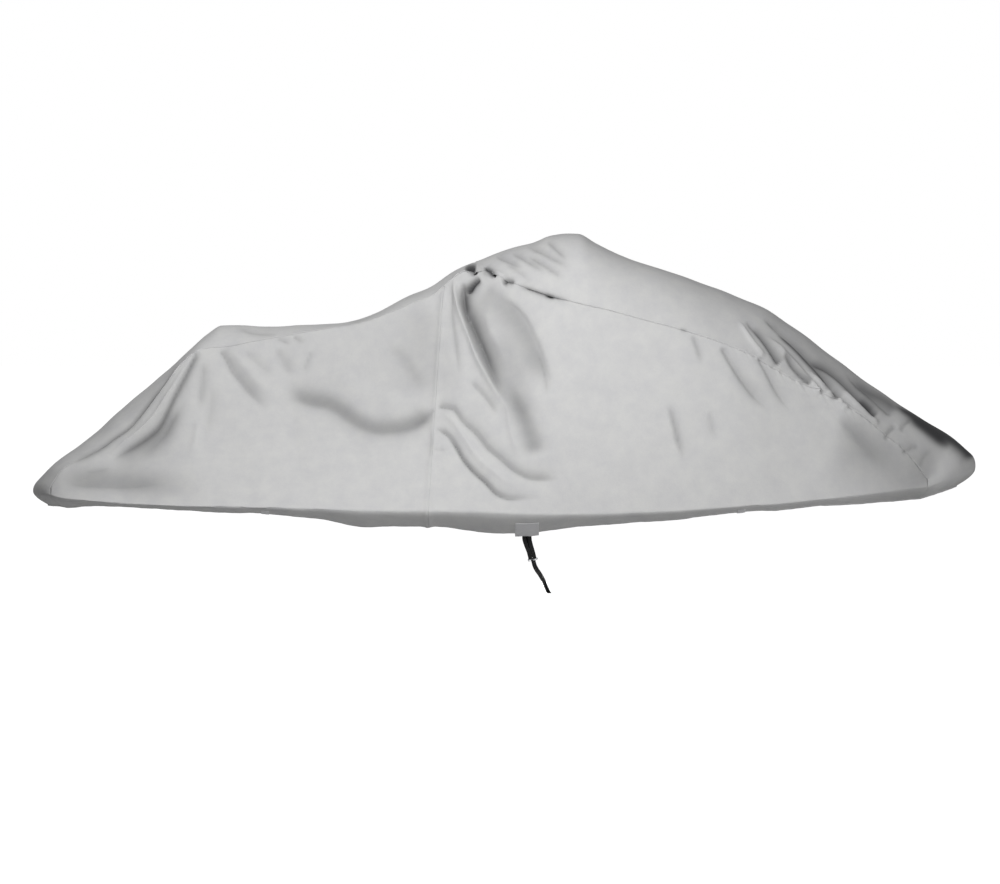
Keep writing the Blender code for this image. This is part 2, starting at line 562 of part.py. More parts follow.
# ---- strap --------------------------------------------------------------------------
def smooth_path(points, count):
    """A smooth curve through the points, read at even steps of its length."""
    points = np.array(points, float)
    run = np.concatenate([[0.0], np.cumsum(np.linalg.norm(np.diff(points, axis=0), axis=1))])
    axes = [smooth_column(run, points[:, k]) for k in range(3)]
    steps = np.linspace(0.0, run[-1], count)
    return np.stack([axis(steps) for axis in axes], axis=-1)


def ribbon(collection, name, path, width, material):
    """Flat webbing: an open strip along the path, thickened by Solidify."""
    tangent = unit(np.gradient(path, axis=0))
    face = unit(np.cross(tangent, np.array([1.0, 0.0, 0.0])))
    sideways = unit(np.cross(face, tangent))
    left = path - sideways * width / 2.0
    right = path + sideways * width / 2.0
    strip = np.stack([left, right], axis=1)
    faces = grid_faces(len(path), 2, 0, False)
    obj = add_object(collection, name, [tuple(v) for v in strip.reshape(-1, 3)], faces, material)
    thick = obj.modifiers.new("thickness", "SOLIDIFY")
    thick.thickness = WEBBING
    thick.offset = 0.0
    return obj


def hem_anchor(points, normals, x):
    """A point just below the hem at x, midway through the cloth, and the way on from it."""
    hem = points[:, -1]
    order = np.arange(len(hem))
    row = np.array([np.interp(x, hem[:, 0], order)])
    last = np.array([points.shape[1] - 1.0])
    foot = sample_grid(points, row, last)[0, 0]
    above = sample_grid(points, row, last - 1.0)[0, 0]
    facing = unit(sample_grid(normals, row, last)[0, 0])
    onward = unit(unit(foot - above) + np.array([0.0, 0.0, -1.0]))
    return foot - facing * CLOTH / 2.0 + onward * STRAP_DROP, onward


def slider_frame():
    """The slider's long way, the way through it and the way down the strap."""
    down = unit(np.array(STRAP_PATH[1]) - np.array(SLIDER["top"]))
    through = unit(np.cross(down, np.array([1.0, 0.0, 0.0])))
    return unit(np.cross(through, down)), through, down


def build_slider(collection, material):
    along, through, down = slider_frame()
    bpy.ops.mesh.primitive_cube_add(size=1.0)
    bar = bpy.context.object
    bar.name = "strap_slider"
    bar.data.name = "strap_slider"
    bar.dimensions = (SLIDER["width"], SLIDER["depth"], SLIDER["height"])
    bpy.ops.object.transform_apply(location=False, rotation=False, scale=True)
    bar.matrix_world = Matrix.LocRotScale(
        Vector(SLIDER["centre"]),
        Matrix((along, through, -down)).transposed(),
        None,
    )
    rounded = bar.modifiers.new("rounded", "BEVEL")
    rounded.width = 0.001
    rounded.segments = 2
    bar.data.materials.append(material)
    for holder in list(bar.users_collection):
        holder.objects.unlink(bar)
    collection.objects.link(bar)


def build_strap(collection, blocks, normals, materials):
    along, through, down = slider_frame()
    slider = np.array(SLIDER["centre"])
    middle = TABS[1][1]
    for name, sign in (("aft", -1.0), ("fore", 1.0)):
        x = middle + sign * LEG_TOP_SPREAD / 2.0
        top, onward = hem_anchor(blocks["starboard"], normals["starboard"], x)
        foot = slider + along * (sign * LEG_FOOT_SPREAD / 2.0) - down * (SLIDER["height"] / 2.0 + LEG_CLEAR)
        knee = top + onward * PATCH_DROP * 1.3
        shin = foot - down * PATCH_DROP
        path = smooth_path((top, knee, shin, foot), LEG_ROWS)
        ribbon(collection, "strap_leg_" + name, path, STRAP_WIDTH, materials["webbing"])
    end, onward = hem_anchor(blocks["port"], normals["port"], middle)
    knee = end + onward * PATCH_DROP * 1.3
    start = slider + down * (SLIDER["height"] / 2.0 + LEG_CLEAR)
    path = smooth_path((tuple(start),) + STRAP_PATH[1:] + (tuple(knee), tuple(end)), STRAP_ROWS)
    ribbon(collection, "belly_strap", path, STRAP_WIDTH, materials["webbing"])
    build_slider(collection, materials["metal"])


def main():
    clear_scene()
    collection = bpy.data.collections.new("personal watercraft cover")
    bpy.context.scene.collection.children.link(collection)
    materials = {
        "cloth": make_material("coated polyester", (0.60, 0.60, 0.60), 0.80),
        "webbing": make_material("polyester webbing", (0.012, 0.012, 0.013), 0.75),
        "tab": make_material("grey webbing", (0.42, 0.42, 0.44), 0.80),
        "metal": make_material("plated steel", (0.62, 0.62, 0.63), 0.35, 1.0),
    }
    stations, blocks, normals = build_surface()
    build_top(collection, stations, blocks["top"], normals["top"], materials["cloth"])
    for side in ("starboard", "port"):
        build_side(collection, side, stations, blocks[side], normals[side], materials["cloth"])
        build_tabs(collection, side, blocks[side], normals[side], materials["tab"])
    build_strap(collection, blocks, normals, materials)


main()
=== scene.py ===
import math

import bpy
import numpy as np
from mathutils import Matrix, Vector


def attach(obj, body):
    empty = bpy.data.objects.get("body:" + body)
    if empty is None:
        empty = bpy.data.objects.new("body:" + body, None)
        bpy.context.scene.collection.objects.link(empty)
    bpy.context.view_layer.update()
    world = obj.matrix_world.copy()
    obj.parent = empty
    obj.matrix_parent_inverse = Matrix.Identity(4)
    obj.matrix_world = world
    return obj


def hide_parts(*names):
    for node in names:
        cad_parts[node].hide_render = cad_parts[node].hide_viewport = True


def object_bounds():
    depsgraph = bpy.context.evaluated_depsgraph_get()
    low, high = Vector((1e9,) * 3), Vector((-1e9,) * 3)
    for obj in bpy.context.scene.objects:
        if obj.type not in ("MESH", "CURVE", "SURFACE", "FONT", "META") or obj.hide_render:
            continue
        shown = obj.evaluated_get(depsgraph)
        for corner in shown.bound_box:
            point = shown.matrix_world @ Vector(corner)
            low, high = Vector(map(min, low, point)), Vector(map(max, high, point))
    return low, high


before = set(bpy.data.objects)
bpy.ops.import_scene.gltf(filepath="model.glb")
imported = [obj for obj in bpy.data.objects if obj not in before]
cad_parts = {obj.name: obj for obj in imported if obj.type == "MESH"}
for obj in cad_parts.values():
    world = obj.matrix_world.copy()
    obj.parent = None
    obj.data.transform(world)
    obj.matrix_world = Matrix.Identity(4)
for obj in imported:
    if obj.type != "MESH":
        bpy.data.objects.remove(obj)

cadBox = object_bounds()
print("frame loaded:", len(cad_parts), "solids")

# A fitted cover for a personal watercraft, hanging as it does over the craft, which is left
# out. Lengths are in metres, but for the tables of folds and dust: +X is the bow, +Y port, +Z
# up, and the origin is under the cloth at its highest point, over the handlebar.
lines = {
    "sternX": -1.686,      # the shoulder seams cross the gunwale at the transom's corners
    "bowX": 1.190,         # and beside the nose
    "sideSeamX": -0.425,   # upright seam between the rear and front side panels
    "topSeamX": -0.310,    # cross seam between the seat panel and the hood panel
    "seamLean": 0.048,     # the upright seam leans this far forward at its top
    "leanSpan": 0.13,
    "strapX": -0.125,      # middle of the wide tabs that the strap is sewn under
}

# Centre line of the top: x, z.
ridgeLine = (
    (-1.731, -0.808), (-1.673, -0.750), (-1.600, -0.697), (-1.525, -0.633),
    (-1.427, -0.543), (-1.328, -0.459), (-1.230, -0.371), (-1.175, -0.325),
    (-1.128, -0.297), (-1.060, -0.300), (-0.984, -0.307), (-0.886, -0.302),
    (-0.770, -0.295), (-0.689, -0.282), (-0.615, -0.253), (-0.541, -0.210),
    (-0.443, -0.166), (-0.370, -0.116), (-0.325, -0.096), (-0.270, -0.074),
    (-0.197, -0.047), (-0.110, -0.026), (-0.045, -0.003), (0.000, 0.002),
    (0.045, 0.000), (0.098, -0.026), (0.180, -0.068), (0.270, -0.100),
    (0.394, -0.139), (0.541, -0.195), (0.655, -0.240), (0.738, -0.293),
    (0.886, -0.401), (1.033, -0.507), (1.181, -0.611), (1.270, -0.665),
    (1.336, -0.722),
)

# Sections of one half of the cover, from the stern to the bow: the shoulder seam, the gunwale's
# edge, how far the hem drops below it, how far the wall between them hollows in, and the power
# of the top's curve from the ridge to the seam.
sectionColumns = ("x", "seamY", "seamZ", "edgeY", "edgeZ", "drop", "hollow", "round")
sections = (
    (-1.686, 0.425, -0.832, 0.440, -0.852, 0.040, 0.000, 3.0),
    (-1.650, 0.410, -0.776, 0.472, -0.862, 0.036, 0.002, 3.0),
    (-1.580, 0.378, -0.730, 0.507, -0.869, 0.026, 0.006, 3.0),
    (-1.512, 0.347, -0.690, 0.530, -0.874, 0.021, 0.010, 3.0),
    (-1.433, 0.310, -0.634, 0.545, -0.880, 0.019, 0.014, 3.0),
    (-1.341, 0.268, -0.527, 0.556, -0.884, 0.019, 0.020, 3.0),
    (-1.270, 0.235, -0.430, 0.563, -0.887, 0.020, 0.024, 3.0),
    (-1.197, 0.203, -0.376, 0.568, -0.889, 0.021, 0.026, 3.0),
    (-1.110, 0.182, -0.369, 0.573, -0.891, 0.022, 0.026, 2.6),
    (-1.000, 0.170, -0.350, 0.579, -0.893, 0.023, 0.026, 2.6),
    (-0.900, 0.160, -0.331, 0.584, -0.896, 0.028, 0.026, 2.6),
    (-0.780, 0.152, -0.311, 0.589, -0.899, 0.040, 0.026, 2.4),
    (-0.660, 0.150, -0.288, 0.593, -0.903, 0.056, 0.024, 2.4),
    (-0.541, 0.150, -0.238, 0.596, -0.905, 0.052, 0.020, 2.4),
    (-0.440, 0.155, -0.195, 0.598, -0.905, 0.051, 0.014, 2.2),
    (-0.325, 0.172, -0.114, 0.600, -0.907, 0.064, 0.006, 2.2),
    (-0.249, 0.225, -0.120, 0.601, -0.909, 0.071, 0.000, 2.6),
    (-0.190, 0.272, -0.151, 0.601, -0.912, 0.071, -0.006, 3.0),
    (-0.110, 0.320, -0.182, 0.600, -0.915, 0.067, -0.012, 3.4),
    (-0.030, 0.350, -0.209, 0.599, -0.916, 0.055, -0.015, 3.6),
    (0.095, 0.372, -0.239, 0.596, -0.914, 0.042, -0.016, 3.6),
    (0.243, 0.380, -0.276, 0.591, -0.909, 0.036, -0.016, 3.4),
    (0.384, 0.379, -0.315, 0.582, -0.902, 0.032, -0.014, 3.0),
    (0.505, 0.372, -0.354, 0.568, -0.894, 0.026, -0.012, 2.6),
    (0.617, 0.362, -0.400, 0.547, -0.886, 0.024, -0.010, 2.4),
    (0.705, 0.352, -0.452, 0.522, -0.880, 0.026, -0.008, 2.3),
    (0.813, 0.340, -0.505, 0.484, -0.869, 0.026, -0.006, 2.2),
    (0.895, 0.330, -0.545, 0.449, -0.861, 0.028, -0.004, 2.2),
    (0.968, 0.322, -0.590, 0.414, -0.853, 0.032, -0.003, 2.0),
    (1.036, 0.314, -0.643, 0.378, -0.845, 0.036, -0.002, 2.0),
    (1.118, 0.296, -0.714, 0.327, -0.836, 0.040, 0.000, 2.0),
    (1.190, 0.262, -0.808, 0.275, -0.828, 0.042, 0.000, 2.0),
)

# Ends of the plan outline between the two corner seams. A higher power keeps a corner's own
# direction closer to its seam.
ends = {
    "tipRows": 8, "tipPower": 8, "cornerPower": 6,
    "stern": {"x": lines["sternX"], "out": -0.061, "power": 4.0, "edgeZ": -0.845, "drop": 0.046,
              "bodyOut": -0.045, "blendFrom": -1.450},
    "bow": {"x": lines["bowX"], "out": 0.160, "power": 2.0, "edgeZ": -0.772, "drop": 0.058,
            "bodyOut": 0.146, "blendFrom": 0.780},
}

hem = {
    "bulge": 0.004,        # swells out this far before it turns under
    "tuck": 0.012,         # ends this far inside the gunwale, and further by
    "tuckPerDrop": 0.95,   # this share of its own drop
    "power": 1.4,
    "cord": 0.0032,        # radius of the elastic cord in the hem's edge
    "cordAt": 0.0050,      # from the hem's edge to the cord's middle
    "stitchAt": 0.0135,    # from the hem's edge to its stitching
    "cordShows": 0.9,      # share of the cord's radius that stands out
    "groove": 0.0007, "grooveWidth": 0.0018,
    "ripple": 0.0006,      # height of the small gathers that the elastic pulls up
    "rippleReach": 0.016, "rippleFade": 0.03,
    "rippleWaves": ((0.5, 0.061, 0.7), (0.4, 0.043, 2.9), (0.3, 0.029, 5.0)),
}

# The steps are distances from a seam and from the hem's edge at which lines of the mesh run.
cloth = {
    "thickness": 0.0010,
    "lap": 0.00015,        # gap between two plies of a seam
    "seamSteps": (0.0, 0.0012, 0.0035, 0.0065, 0.0095, 0.0115, 0.0135, 0.0200),
    "hemSteps": (0.0, 0.0017, 0.0034, 0.0050, 0.0066, 0.0083, 0.0110, 0.0135, 0.0160, 0.0200),
    "wallColumns": 106,
    "rollColumns": 9,
    "topColumns": 96,
    "allowanceSteps": 3,   # how many of the seam steps the lower ply runs on for
    "weldsPerMetre": 20000.0,
}

# Rows along the cover: from, to and spacing, closer where the cloth is creased.
rowSpans = (
    (lines["sternX"], -0.520, 0.0085), (-0.520, -0.120, 0.0048),
    (-0.120, 0.540, 0.0072), (0.540, lines["bowX"], 0.0046),
)

# Folds, seen from the side, with every length in millimetres: height (below zero is a trough),
# half width where the fold starts and where it ends, width on its second side over that on its
# first (ahead of a fold that runs down, above one that runs forward), how slowly each end fades
# in (share of the length), and the path as x, z points.
foldColumns = ("height", "startWidth", "endWidth", "skew", "fadeIn", "fadeOut", "path")

# Paths that a crease shares with the painted shade in it, and those of the painted shade on the nose's
# top.
seatCorner = (
    (-1204, -380), (-1230, -433), (-1258, -485), (-1286, -535), (-1309, -581), (-1338, -630),
    (-1381, -666), (-1440, -705), (-1492, -745),
)
sternCrease = (
    (-1276, -420), (-1319, -479), (-1361, -535), (-1394, -581), (-1433, -630), (-1483, -666),
    (-1528, -699), (-1584, -731), (-1643, -768),
)
fanCrease = (
    (-426, -633), (-384, -659), (-358, -695), (-335, -735), (-302, -774), (-262, -810), (-220, -850),
    (-180, -863), (-69, -859),
)
noseTop = ((1125, -587), (1171, -623), (1217, -659), (1269, -702))
noseRidge = ((1079, -554), (1147, -598), (1208, -635), (1268, -672), (1314, -706), (1345, -740))

starboardFolds = (
    # stern: creases that run from the seat's corner down to the transom
    (-12, 4, 8, 2.8, 0.05, 0.2, seatCorner),
    (8, 6, 10, 1, 0.12, 0.25,
     ((-1230, -407), (-1263, -462), (-1302, -522), (-1355, -600), (-1401, -646), (-1453, -686),
      (-1512, -738))),
    (-10, 4, 7, 2, 0.15, 0.2, sternCrease),
    (5, 6, 8, 1, 0.2, 0.25, ((-1335, -453), (-1401, -518), (-1486, -590), (-1558, -649))),
    (-6, 10, 22, 1.6, 0.25, 0.35,
     ((-1243, -531), (-1276, -590), (-1315, -649), (-1361, -695), (-1420, -728))),
    (4, 8, 12, 1, 0.2, 0.3, ((-1200, -604), (-1210, -663), (-1223, -735))),
    (-11, 5, 12, 2.4, 0.06, 0.4,
     ((-1132, -377), (-1112, -407), (-1092, -446), (-1066, -479), (-1030, -522), (-994, -554),
      (-961, -581))),
    (6, 10, 20, 1, 0.15, 0.4, ((-1092, -387), (-1056, -433), (-1007, -489), (-951, -544))),
    (-7, 8, 12, 1.6, 0.2, 0.4, ((-1184, -413), (-1187, -462), (-1191, -518), (-1200, -584))),
    (4, 8, 12, 1, 0.3, 0.4, ((-1200, -604), (-1204, -649), (-1214, -708))),
    (-4, 8, 14, 1.5, 0.3, 0.4, ((-1151, -479), (-1161, -577), (-1178, -676))),
    (-4.5, 8, 10, 1.8, 0.2, 0.3, ((-1650, -820), (-1558, -823), (-1460, -823), (-1302, -813))),
    (-6, 24, 36, 1, 0.3, 0.3, ((-1312, -604), (-1355, -676), (-1427, -728), (-1499, -761))),
    (-5, 6, 10, 2, 0.3, 0.4, ((-1269, -571), (-1302, -626), (-1335, -676))),
    (-4, 6, 9, 2, 0.3, 0.4, ((-1486, -761), (-1532, -774), (-1591, -784))),
    # wrinkles below the seat's seam
    (-7, 11, 20, 1.3, 0.2, 0.4, ((-951, -371), (-925, -413), (-895, -472))),
    (-4, 9, 16, 1.3, 0.2, 0.4, ((-1056, -380), (-1007, -423), (-948, -472))),
    (-4, 5, 7, 1.5, 0.25, 0.4, ((-827, -377), (-846, -420), (-859, -462))),
    (-6, 6, 9, 1, 0.15, 0.5, ((-948, -341), (-922, -351), (-895, -364))),
    (-6, 6, 9, 1, 0.15, 0.5, ((-892, -335), (-872, -348), (-850, -361))),
    (-6, 7, 10, 1, 0.3, 0.3, ((-1092, -295), (-1066, -308), (-1017, -325), (-935, -331))),
    # broad slack trough across the rear side panel, and the bulge above it
    (-12.5, 18, 20, 1.3, 0.15, 0.1,
     ((-909, -512), (-863, -538), (-823, -548), (-777, -554), (-735, -574), (-695, -604), (-653, -626),
      (-607, -636), (-554, -633), (-505, -623), (-466, -604), (-430, -577))),
    (7, 30, 32, 1, 0.25, 0.25, ((-797, -453), (-722, -479), (-646, -525), (-567, -551), (-495, -544))),
    (-5, 20, 20, 1, 0.3, 0.3, ((-597, -364), (-548, -387), (-502, -453), (-462, -518))),
    # beside the upright seam
    (-6, 5, 8, 1.5, 0.15, 0.4, ((-377, -164), (-377, -249), (-367, -331), (-354, -413), (-341, -492))),
    (16, 9, 14, 0.6, 0.1, 0.25,
     ((-367, -138), (-361, -190), (-351, -236), (-335, -282), (-312, -341), (-282, -413), (-249, -472),
      (-220, -525), (-187, -577))),
    (-29, 6, 9, 3.4, 0.06, 0.5,
     ((-338, -154), (-341, -203), (-331, -249), (-315, -289), (-292, -348), (-262, -417), (-233, -479),
      (-203, -531), (-164, -584))),
    (-7, 5, 8, 1.8, 0.2, 0.3, ((-315, -479), (-266, -531), (-220, -594))),
    (-4, 6, 8, 1, 0.3, 0.3, ((-436, -636), (-440, -689), (-443, -741))),
    # pinched cloth where the seams meet behind the handlebar
    (-22, 8, 9, 1, 0.2, 0.2, ((-325, -92), (-308, -112), (-298, -134))),
    (-18, 6, 7, 1, 0.2, 0.2, ((-259, -105), (-246, -121), (-230, -141))),
    (-18, 6, 8, 1, 0.2, 0.2, ((-282, -141), (-302, -161), (-325, -190))),
    (-14, 6, 7, 1, 0.2, 0.2, ((-210, -161), (-187, -151), (-164, -154))),
    (7, 6, 7, 1, 0.2, 0.2, ((-285, -92), (-266, -112), (-253, -138))),
    (6, 6, 7, 1, 0.2, 0.2, ((-233, -112), (-210, -128), (-180, -138))),
    (-8, 5, 6, 1, 0.2, 0.4, ((-144, -167), (-98, -187), (-52, -203), (10, -216))),
    (-8, 4, 4, 1, 0.3, 0.3, ((-66, -197), (-52, -203), (-36, -210))),
    # slack cloth in front of the deep fold
    (-11, 50, 50, 0.3, 0.25, 0.25,
     ((-239, -203), (-184, -236), (-138, -282), (-112, -335), (-92, -377), (-75, -433), (-62, -479),
      (-59, -531))),
    (-10, 16, 30, 1.2, 0.4, 0.12,
     ((-203, -466), (-177, -525), (-154, -577), (-131, -630), (-112, -682), (-98, -735))),
    (7, 10, 14, 1, 0.25, 0.25, ((-194, -531), (-180, -626), (-154, -735))),
    (5, 12, 18, 1, 0.2, 0.3, ((-266, -249), (-246, -315), (-213, -380), (-187, -453))),
    # creases that fan forward from the pinch on the upright seam
    (-11, 4, 7, 2.6, 0.03, 0.15,
     ((-420, -564), (-371, -571), (-338, -610), (-292, -653), (-256, -699), (-216, -731), (-164, -774),
      (-108, -797), (-16, -800))),
    (-13, 4, 6, 1.9, 0.08, 0.35, fanCrease),
    (7, 6, 14, 1, 0.1, 0.3,
     ((-410, -584), (-371, -610), (-331, -669), (-292, -725), (-239, -774), (-190, -810),
      (-134, -827))),
    (-5, 5, 9, 1, 0.05, 0.5, ((-426, -577), (-449, -590), (-476, -610), (-515, -623))),
    (-3, 4, 5, 1, 0.3, 0.3, ((-433, -705), (-410, -705), (-387, -708))),
    # front side panel
    (-7, 5, 8, 1.8, 0.15, 0.4, ((417, -328), (436, -380), (449, -430))),
    (-12, 5, 14, 2, 0.05, 0.45,
     ((512, -371), (538, -413), (564, -456), (600, -505), (640, -551), (686, -584))),
    (-9, 5, 12, 2, 0.06, 0.45, ((630, -403), (659, -449), (689, -505), (715, -548), (748, -590))),
    (-9, 5, 7, 2, 0.25, 0.4, ((338, -551), (358, -630), (377, -705), (394, -754))),
    (-4, 10, 14, 1, 0.3, 0.4, ((472, -571), (482, -623), (492, -682))),
    (-10, 20, 30, 1.3, 0.25, 0.4, ((895, -590), (961, -649), (1033, -728), (1099, -761))),
    # gathers of the hood above its seam near the bow
    (10, 5, 7, 1, 0.25, 0.08, ((567, -285), (594, -325), (620, -361), (653, -400))),
    (-14, 4, 7, 2.2, 0.2, 0.05, ((590, -285), (633, -325), (666, -367), (702, -426))),
    (-10, 4, 6, 1.8, 0.2, 0.05, ((715, -380), (741, -426), (768, -456), (807, -492))),
    (14, 6, 8, 1, 0.2, 0.05, ((656, -331), (705, -374), (754, -423), (797, -472), (840, -522))),
    (-24, 4, 7, 2, 0.2, 0.04,
     ((649, -276), (705, -315), (758, -361), (804, -407), (850, -459), (879, -505), (899, -538))),
    (13, 6, 8, 1, 0.25, 0.08, ((790, -440), (840, -489), (889, -535), (932, -574))),
    (-16, 4, 7, 1.8, 0.2, 0.04,
     ((790, -394), (859, -436), (922, -489), (961, -531), (994, -564), (1023, -597))),
    (11, 6, 8, 1, 0.25, 0.1, ((895, -492), (941, -538), (987, -584), (1033, -623))),
    (-11, 5, 9, 1.8, 0.3, 0.1, ((922, -453), (974, -499), (1027, -544), (1079, -594))),
    (-8, 4, 6, 1.5, 0.2, 0.2, ((1050, -679), (1066, -649), (1092, -623))),
    (-8, 4, 6, 1.5, 0.2, 0.2, ((1102, -649), (1118, -623), (1138, -607))),
    (-8, 4, 6, 1.5, 0.2, 0.2, ((1105, -722), (1132, -705), (1161, -695))),
    (6, 8, 10, 1, 0.25, 0.25, ((1082, -695), (1115, -682), (1138, -702))),
    (-6, 5, 7, 1.5, 0.2, 0.3, ((1161, -774), (1174, -735), (1204, -705))),
    # screen: slanting wrinkles on the hood beside the peak
    (-9, 5, 8, 1.8, 0.2, 0.4, ((-128, -33), (-56, -69), (23, -112))),
    (-9, 5, 8, 1.8, 0.2, 0.4, ((-128, -66), (-62, -105), (3, -151))),
    (-8, 5, 7, 1.8, 0.2, 0.4, ((-233, -62), (-187, -85), (-138, -112))),
    (-8, 5, 7, 1.8, 0.2, 0.4, ((-62, -16), (-30, -46), (10, -85))),
    (-8, 5, 7, 1.8, 0.2, 0.4, ((-180, -52), (-121, -89), (-62, -128))),
    (-4, 5, 7, 1.6, 0.2, 0.4, ((-197, -92), (-148, -125), (-108, -161))),
)
portFolds = (
    (-13, 8, 14, 2.4, 0.1, 0.3, ((-1195, -390), (-1265, -520), (-1370, -650), (-1500, -735))),
    (7, 16, 26, 1, 0.2, 0.3, ((-1240, -430), (-1350, -580), (-1470, -690))),
    (-12, 8, 18, 2, 0.15, 0.4, ((-1125, -390), (-1075, -470), (-1000, -550))),
    (-5, 8, 14, 1.6, 0.2, 0.4, ((-1190, -420), (-1200, -520), (-1215, -600))),
    (-22, 16, 18, 2.6, 0.2, 0.12,
     ((-960, -570), (-820, -620), (-680, -675), (-550, -685), (-430, -620))),
    (10, 30, 40, 1, 0.25, 0.2, ((-850, -500), (-700, -545), (-540, -580))),
    (-14, 6, 10, 2.4, 0.05, 0.3, ((-420, -610), (-330, -640), (-250, -730), (-140, -800), (-40, -815))),
    (-10, 5, 8, 2, 0.05, 0.3, ((-425, -660), (-350, -730), (-270, -820))),
    (-30, 8, 13, 3, 0.12, 0.25, ((-330, -105), (-322, -220), (-285, -350), (-240, -470), (-215, -560))),
    (14, 12, 18, 0.8, 0.15, 0.25, ((-358, -150), (-345, -280), (-310, -400), (-270, -500))),
    (-16, 30, 40, 1, 0.2, 0.25, ((-205, -310), (-160, -420), (-125, -540), (-120, -650))),
    (9, 14, 22, 1, 0.2, 0.25, ((-130, -270), (-65, -400), (-40, -520))),
    (-9, 5, 12, 2, 0.1, 0.4, ((480, -365), (530, -450), (600, -540))),
    (-8, 6, 12, 2, 0.1, 0.4, ((800, -520), (860, -600), (940, -680))),
    (-16, 6, 10, 2.2, 0.25, 0.08, ((610, -290), (680, -360), (750, -455))),
    (8, 8, 10, 1, 0.25, 0.1, ((650, -295), (725, -370), (790, -460))),
    (-20, 6, 10, 2.2, 0.25, 0.08, ((700, -320), (780, -395), (870, -495))),
    (7, 10, 12, 1, 0.3, 0.15, ((745, -330), (835, -420), (915, -520))),
    (-19, 6, 10, 2.2, 0.25, 0.08, ((800, -360), (890, -440), (980, -545))),
    (-13, 8, 12, 1.8, 0.3, 0.1, ((920, -440), (1000, -530), (1080, -640))),
    (-6, 6, 9, 1.6, 0.3, 0.3, ((-190, -60), (-110, -95), (-50, -130))),
    (-5, 6, 9, 1.6, 0.3, 0.3, ((-110, -40), (-50, -70), (10, -110))),
)

# Painted shade that lies outside the folds' own troughs, in pockets, bands and hollows where shade falls:
# columns as for the folds, but the height is the amount of painted shade.
starboardShade = (
    # pinched cloth behind the handlebar
    (3.4, 9, 9, 1, 0.3, 0.3, ((-328, -92), (-312, -102), (-292, -108))),
    (3, 7, 7, 1, 0.3, 0.3, ((-266, -105), (-249, -118), (-233, -138))),
    (2.4, 8, 8, 1, 0.3, 0.3, ((-279, -144), (-302, -164), (-328, -190))),
    (1.2, 7, 7, 1, 0.3, 0.3, ((-207, -164), (-187, -154), (-167, -154))),
    (0.6, 12, 10, 1, 0.2, 0.4, ((-325, -184), (-328, -216), (-321, -256))),
    (0.8, 5, 5, 1, 0.3, 0.3, ((-69, -200), (-52, -203), (-33, -210))),
    (0.4, 7, 7, 1, 0.2, 0.3, ((-161, -164), (-108, -184), (-52, -203), (33, -220))),
    (0.6, 4, 4, 1, 0.3, 0.3, ((377, -312), (387, -315), (400, -318))),
    # slack pocket in front of the deep fold
    (0.26, 60, 50, 0.45, 0.1, 0.2,
     ((-272, -171), (-213, -216), (-148, -298), (-105, -387), (-79, -479))),
    (0.17, 48, 60, 0.6, 0.2, 0.2, ((-230, -315), (-180, -413), (-141, -518), (-115, -626))),
    (0.24, 22, 34, 1, 0.3, 0.12,
     ((-194, -492), (-157, -558), (-128, -623), (-108, -676), (-102, -715))),
    (0.22, 5, 6, 1, 0.3, 0.3, ((-95, -374), (-79, -420), (-66, -472), (-59, -531))),
    # broad slack trough, and the fan below the upright seam
    (0.22, 34, 34, 1, 0.15, 0.1,
     ((-935, -505), (-869, -525), (-810, -535), (-751, -567), (-689, -613), (-630, -636), (-564, -636),
      (-479, -613), (-430, -577))),
    (0.1, 70, 70, 1, 0.2, 0.2, ((-459, -216), (-476, -380), (-462, -544))),
    (0.4, 4, 5, 1.6, 0.2, 0.4, fanCrease[1:8]),
    (0.055, 200, 200, 1, 0.05, 0.05, ((-918, -495), (-738, -472), (-541, -430), (-377, -364))),
    # transom side
    (0.14, 30, 45, 1, 0.3, 0.3, ((-1263, -551), (-1302, -610), (-1348, -669), (-1407, -722))),
    (0.35, 35, 45, 1, 0.2, 0.5,
     ((-1683, -787), (-1591, -800), (-1492, -800), (-1361, -813), (-1148, -833))),
    (0.35, 4, 6, 1.6, 0.1, 0.3, seatCorner),
    (0.35, 4, 6, 1.6, 0.15, 0.3, sternCrease[1:]),
    # under the handlebar's rise
    (0.42, 12, 12, 1, 0.2, 0.2,
     ((-722, -295), (-666, -269), (-613, -236), (-554, -203), (-492, -184), (-430, -154))),
    # gathers near the bow, and the painted shade on the upper side of the nose
    (0.8, 5, 8, 1.8, 0.2, 0.05, ((607, -302), (646, -341), (672, -380), (702, -426))),
    (1.6, 4, 6, 1.8, 0.2, 0.05, ((689, -321), (745, -367), (790, -413), (836, -466), (866, -512))),
    (3, 6, 6, 1, 0.3, 0.3, ((876, -505), (886, -525), (895, -544))),
    (0.7, 5, 6, 1.5, 0.2, 0.05, ((718, -387), (745, -430), (771, -459), (804, -489))),
    (0.9, 5, 7, 1.8, 0.2, 0.05, ((810, -403), (869, -443), (925, -492), (968, -538), (1007, -581))),
    (2, 6, 7, 1.5, 0.3, 0.15, ((961, -535), (991, -561), (1023, -597))),
    (0.8, 10, 16, 1, 0.3, 0.2, ((941, -466), (994, -508), (1053, -541), (1105, -581))),
    (0.1, 30, 40, 1, 0.2, 0.2, ((705, -331), (836, -420), (968, -518), (1099, -610))),
    (2.8, 14, 18, 1, 0.3, 0.3, noseTop),
    (3.6, 6, 16, 1, 0.2, 0.1, noseRidge),
    (0.34, 100, 120, 1, 0.25, 0.15, ((869, -649), (994, -702), (1099, -761), (1230, -807))),
)
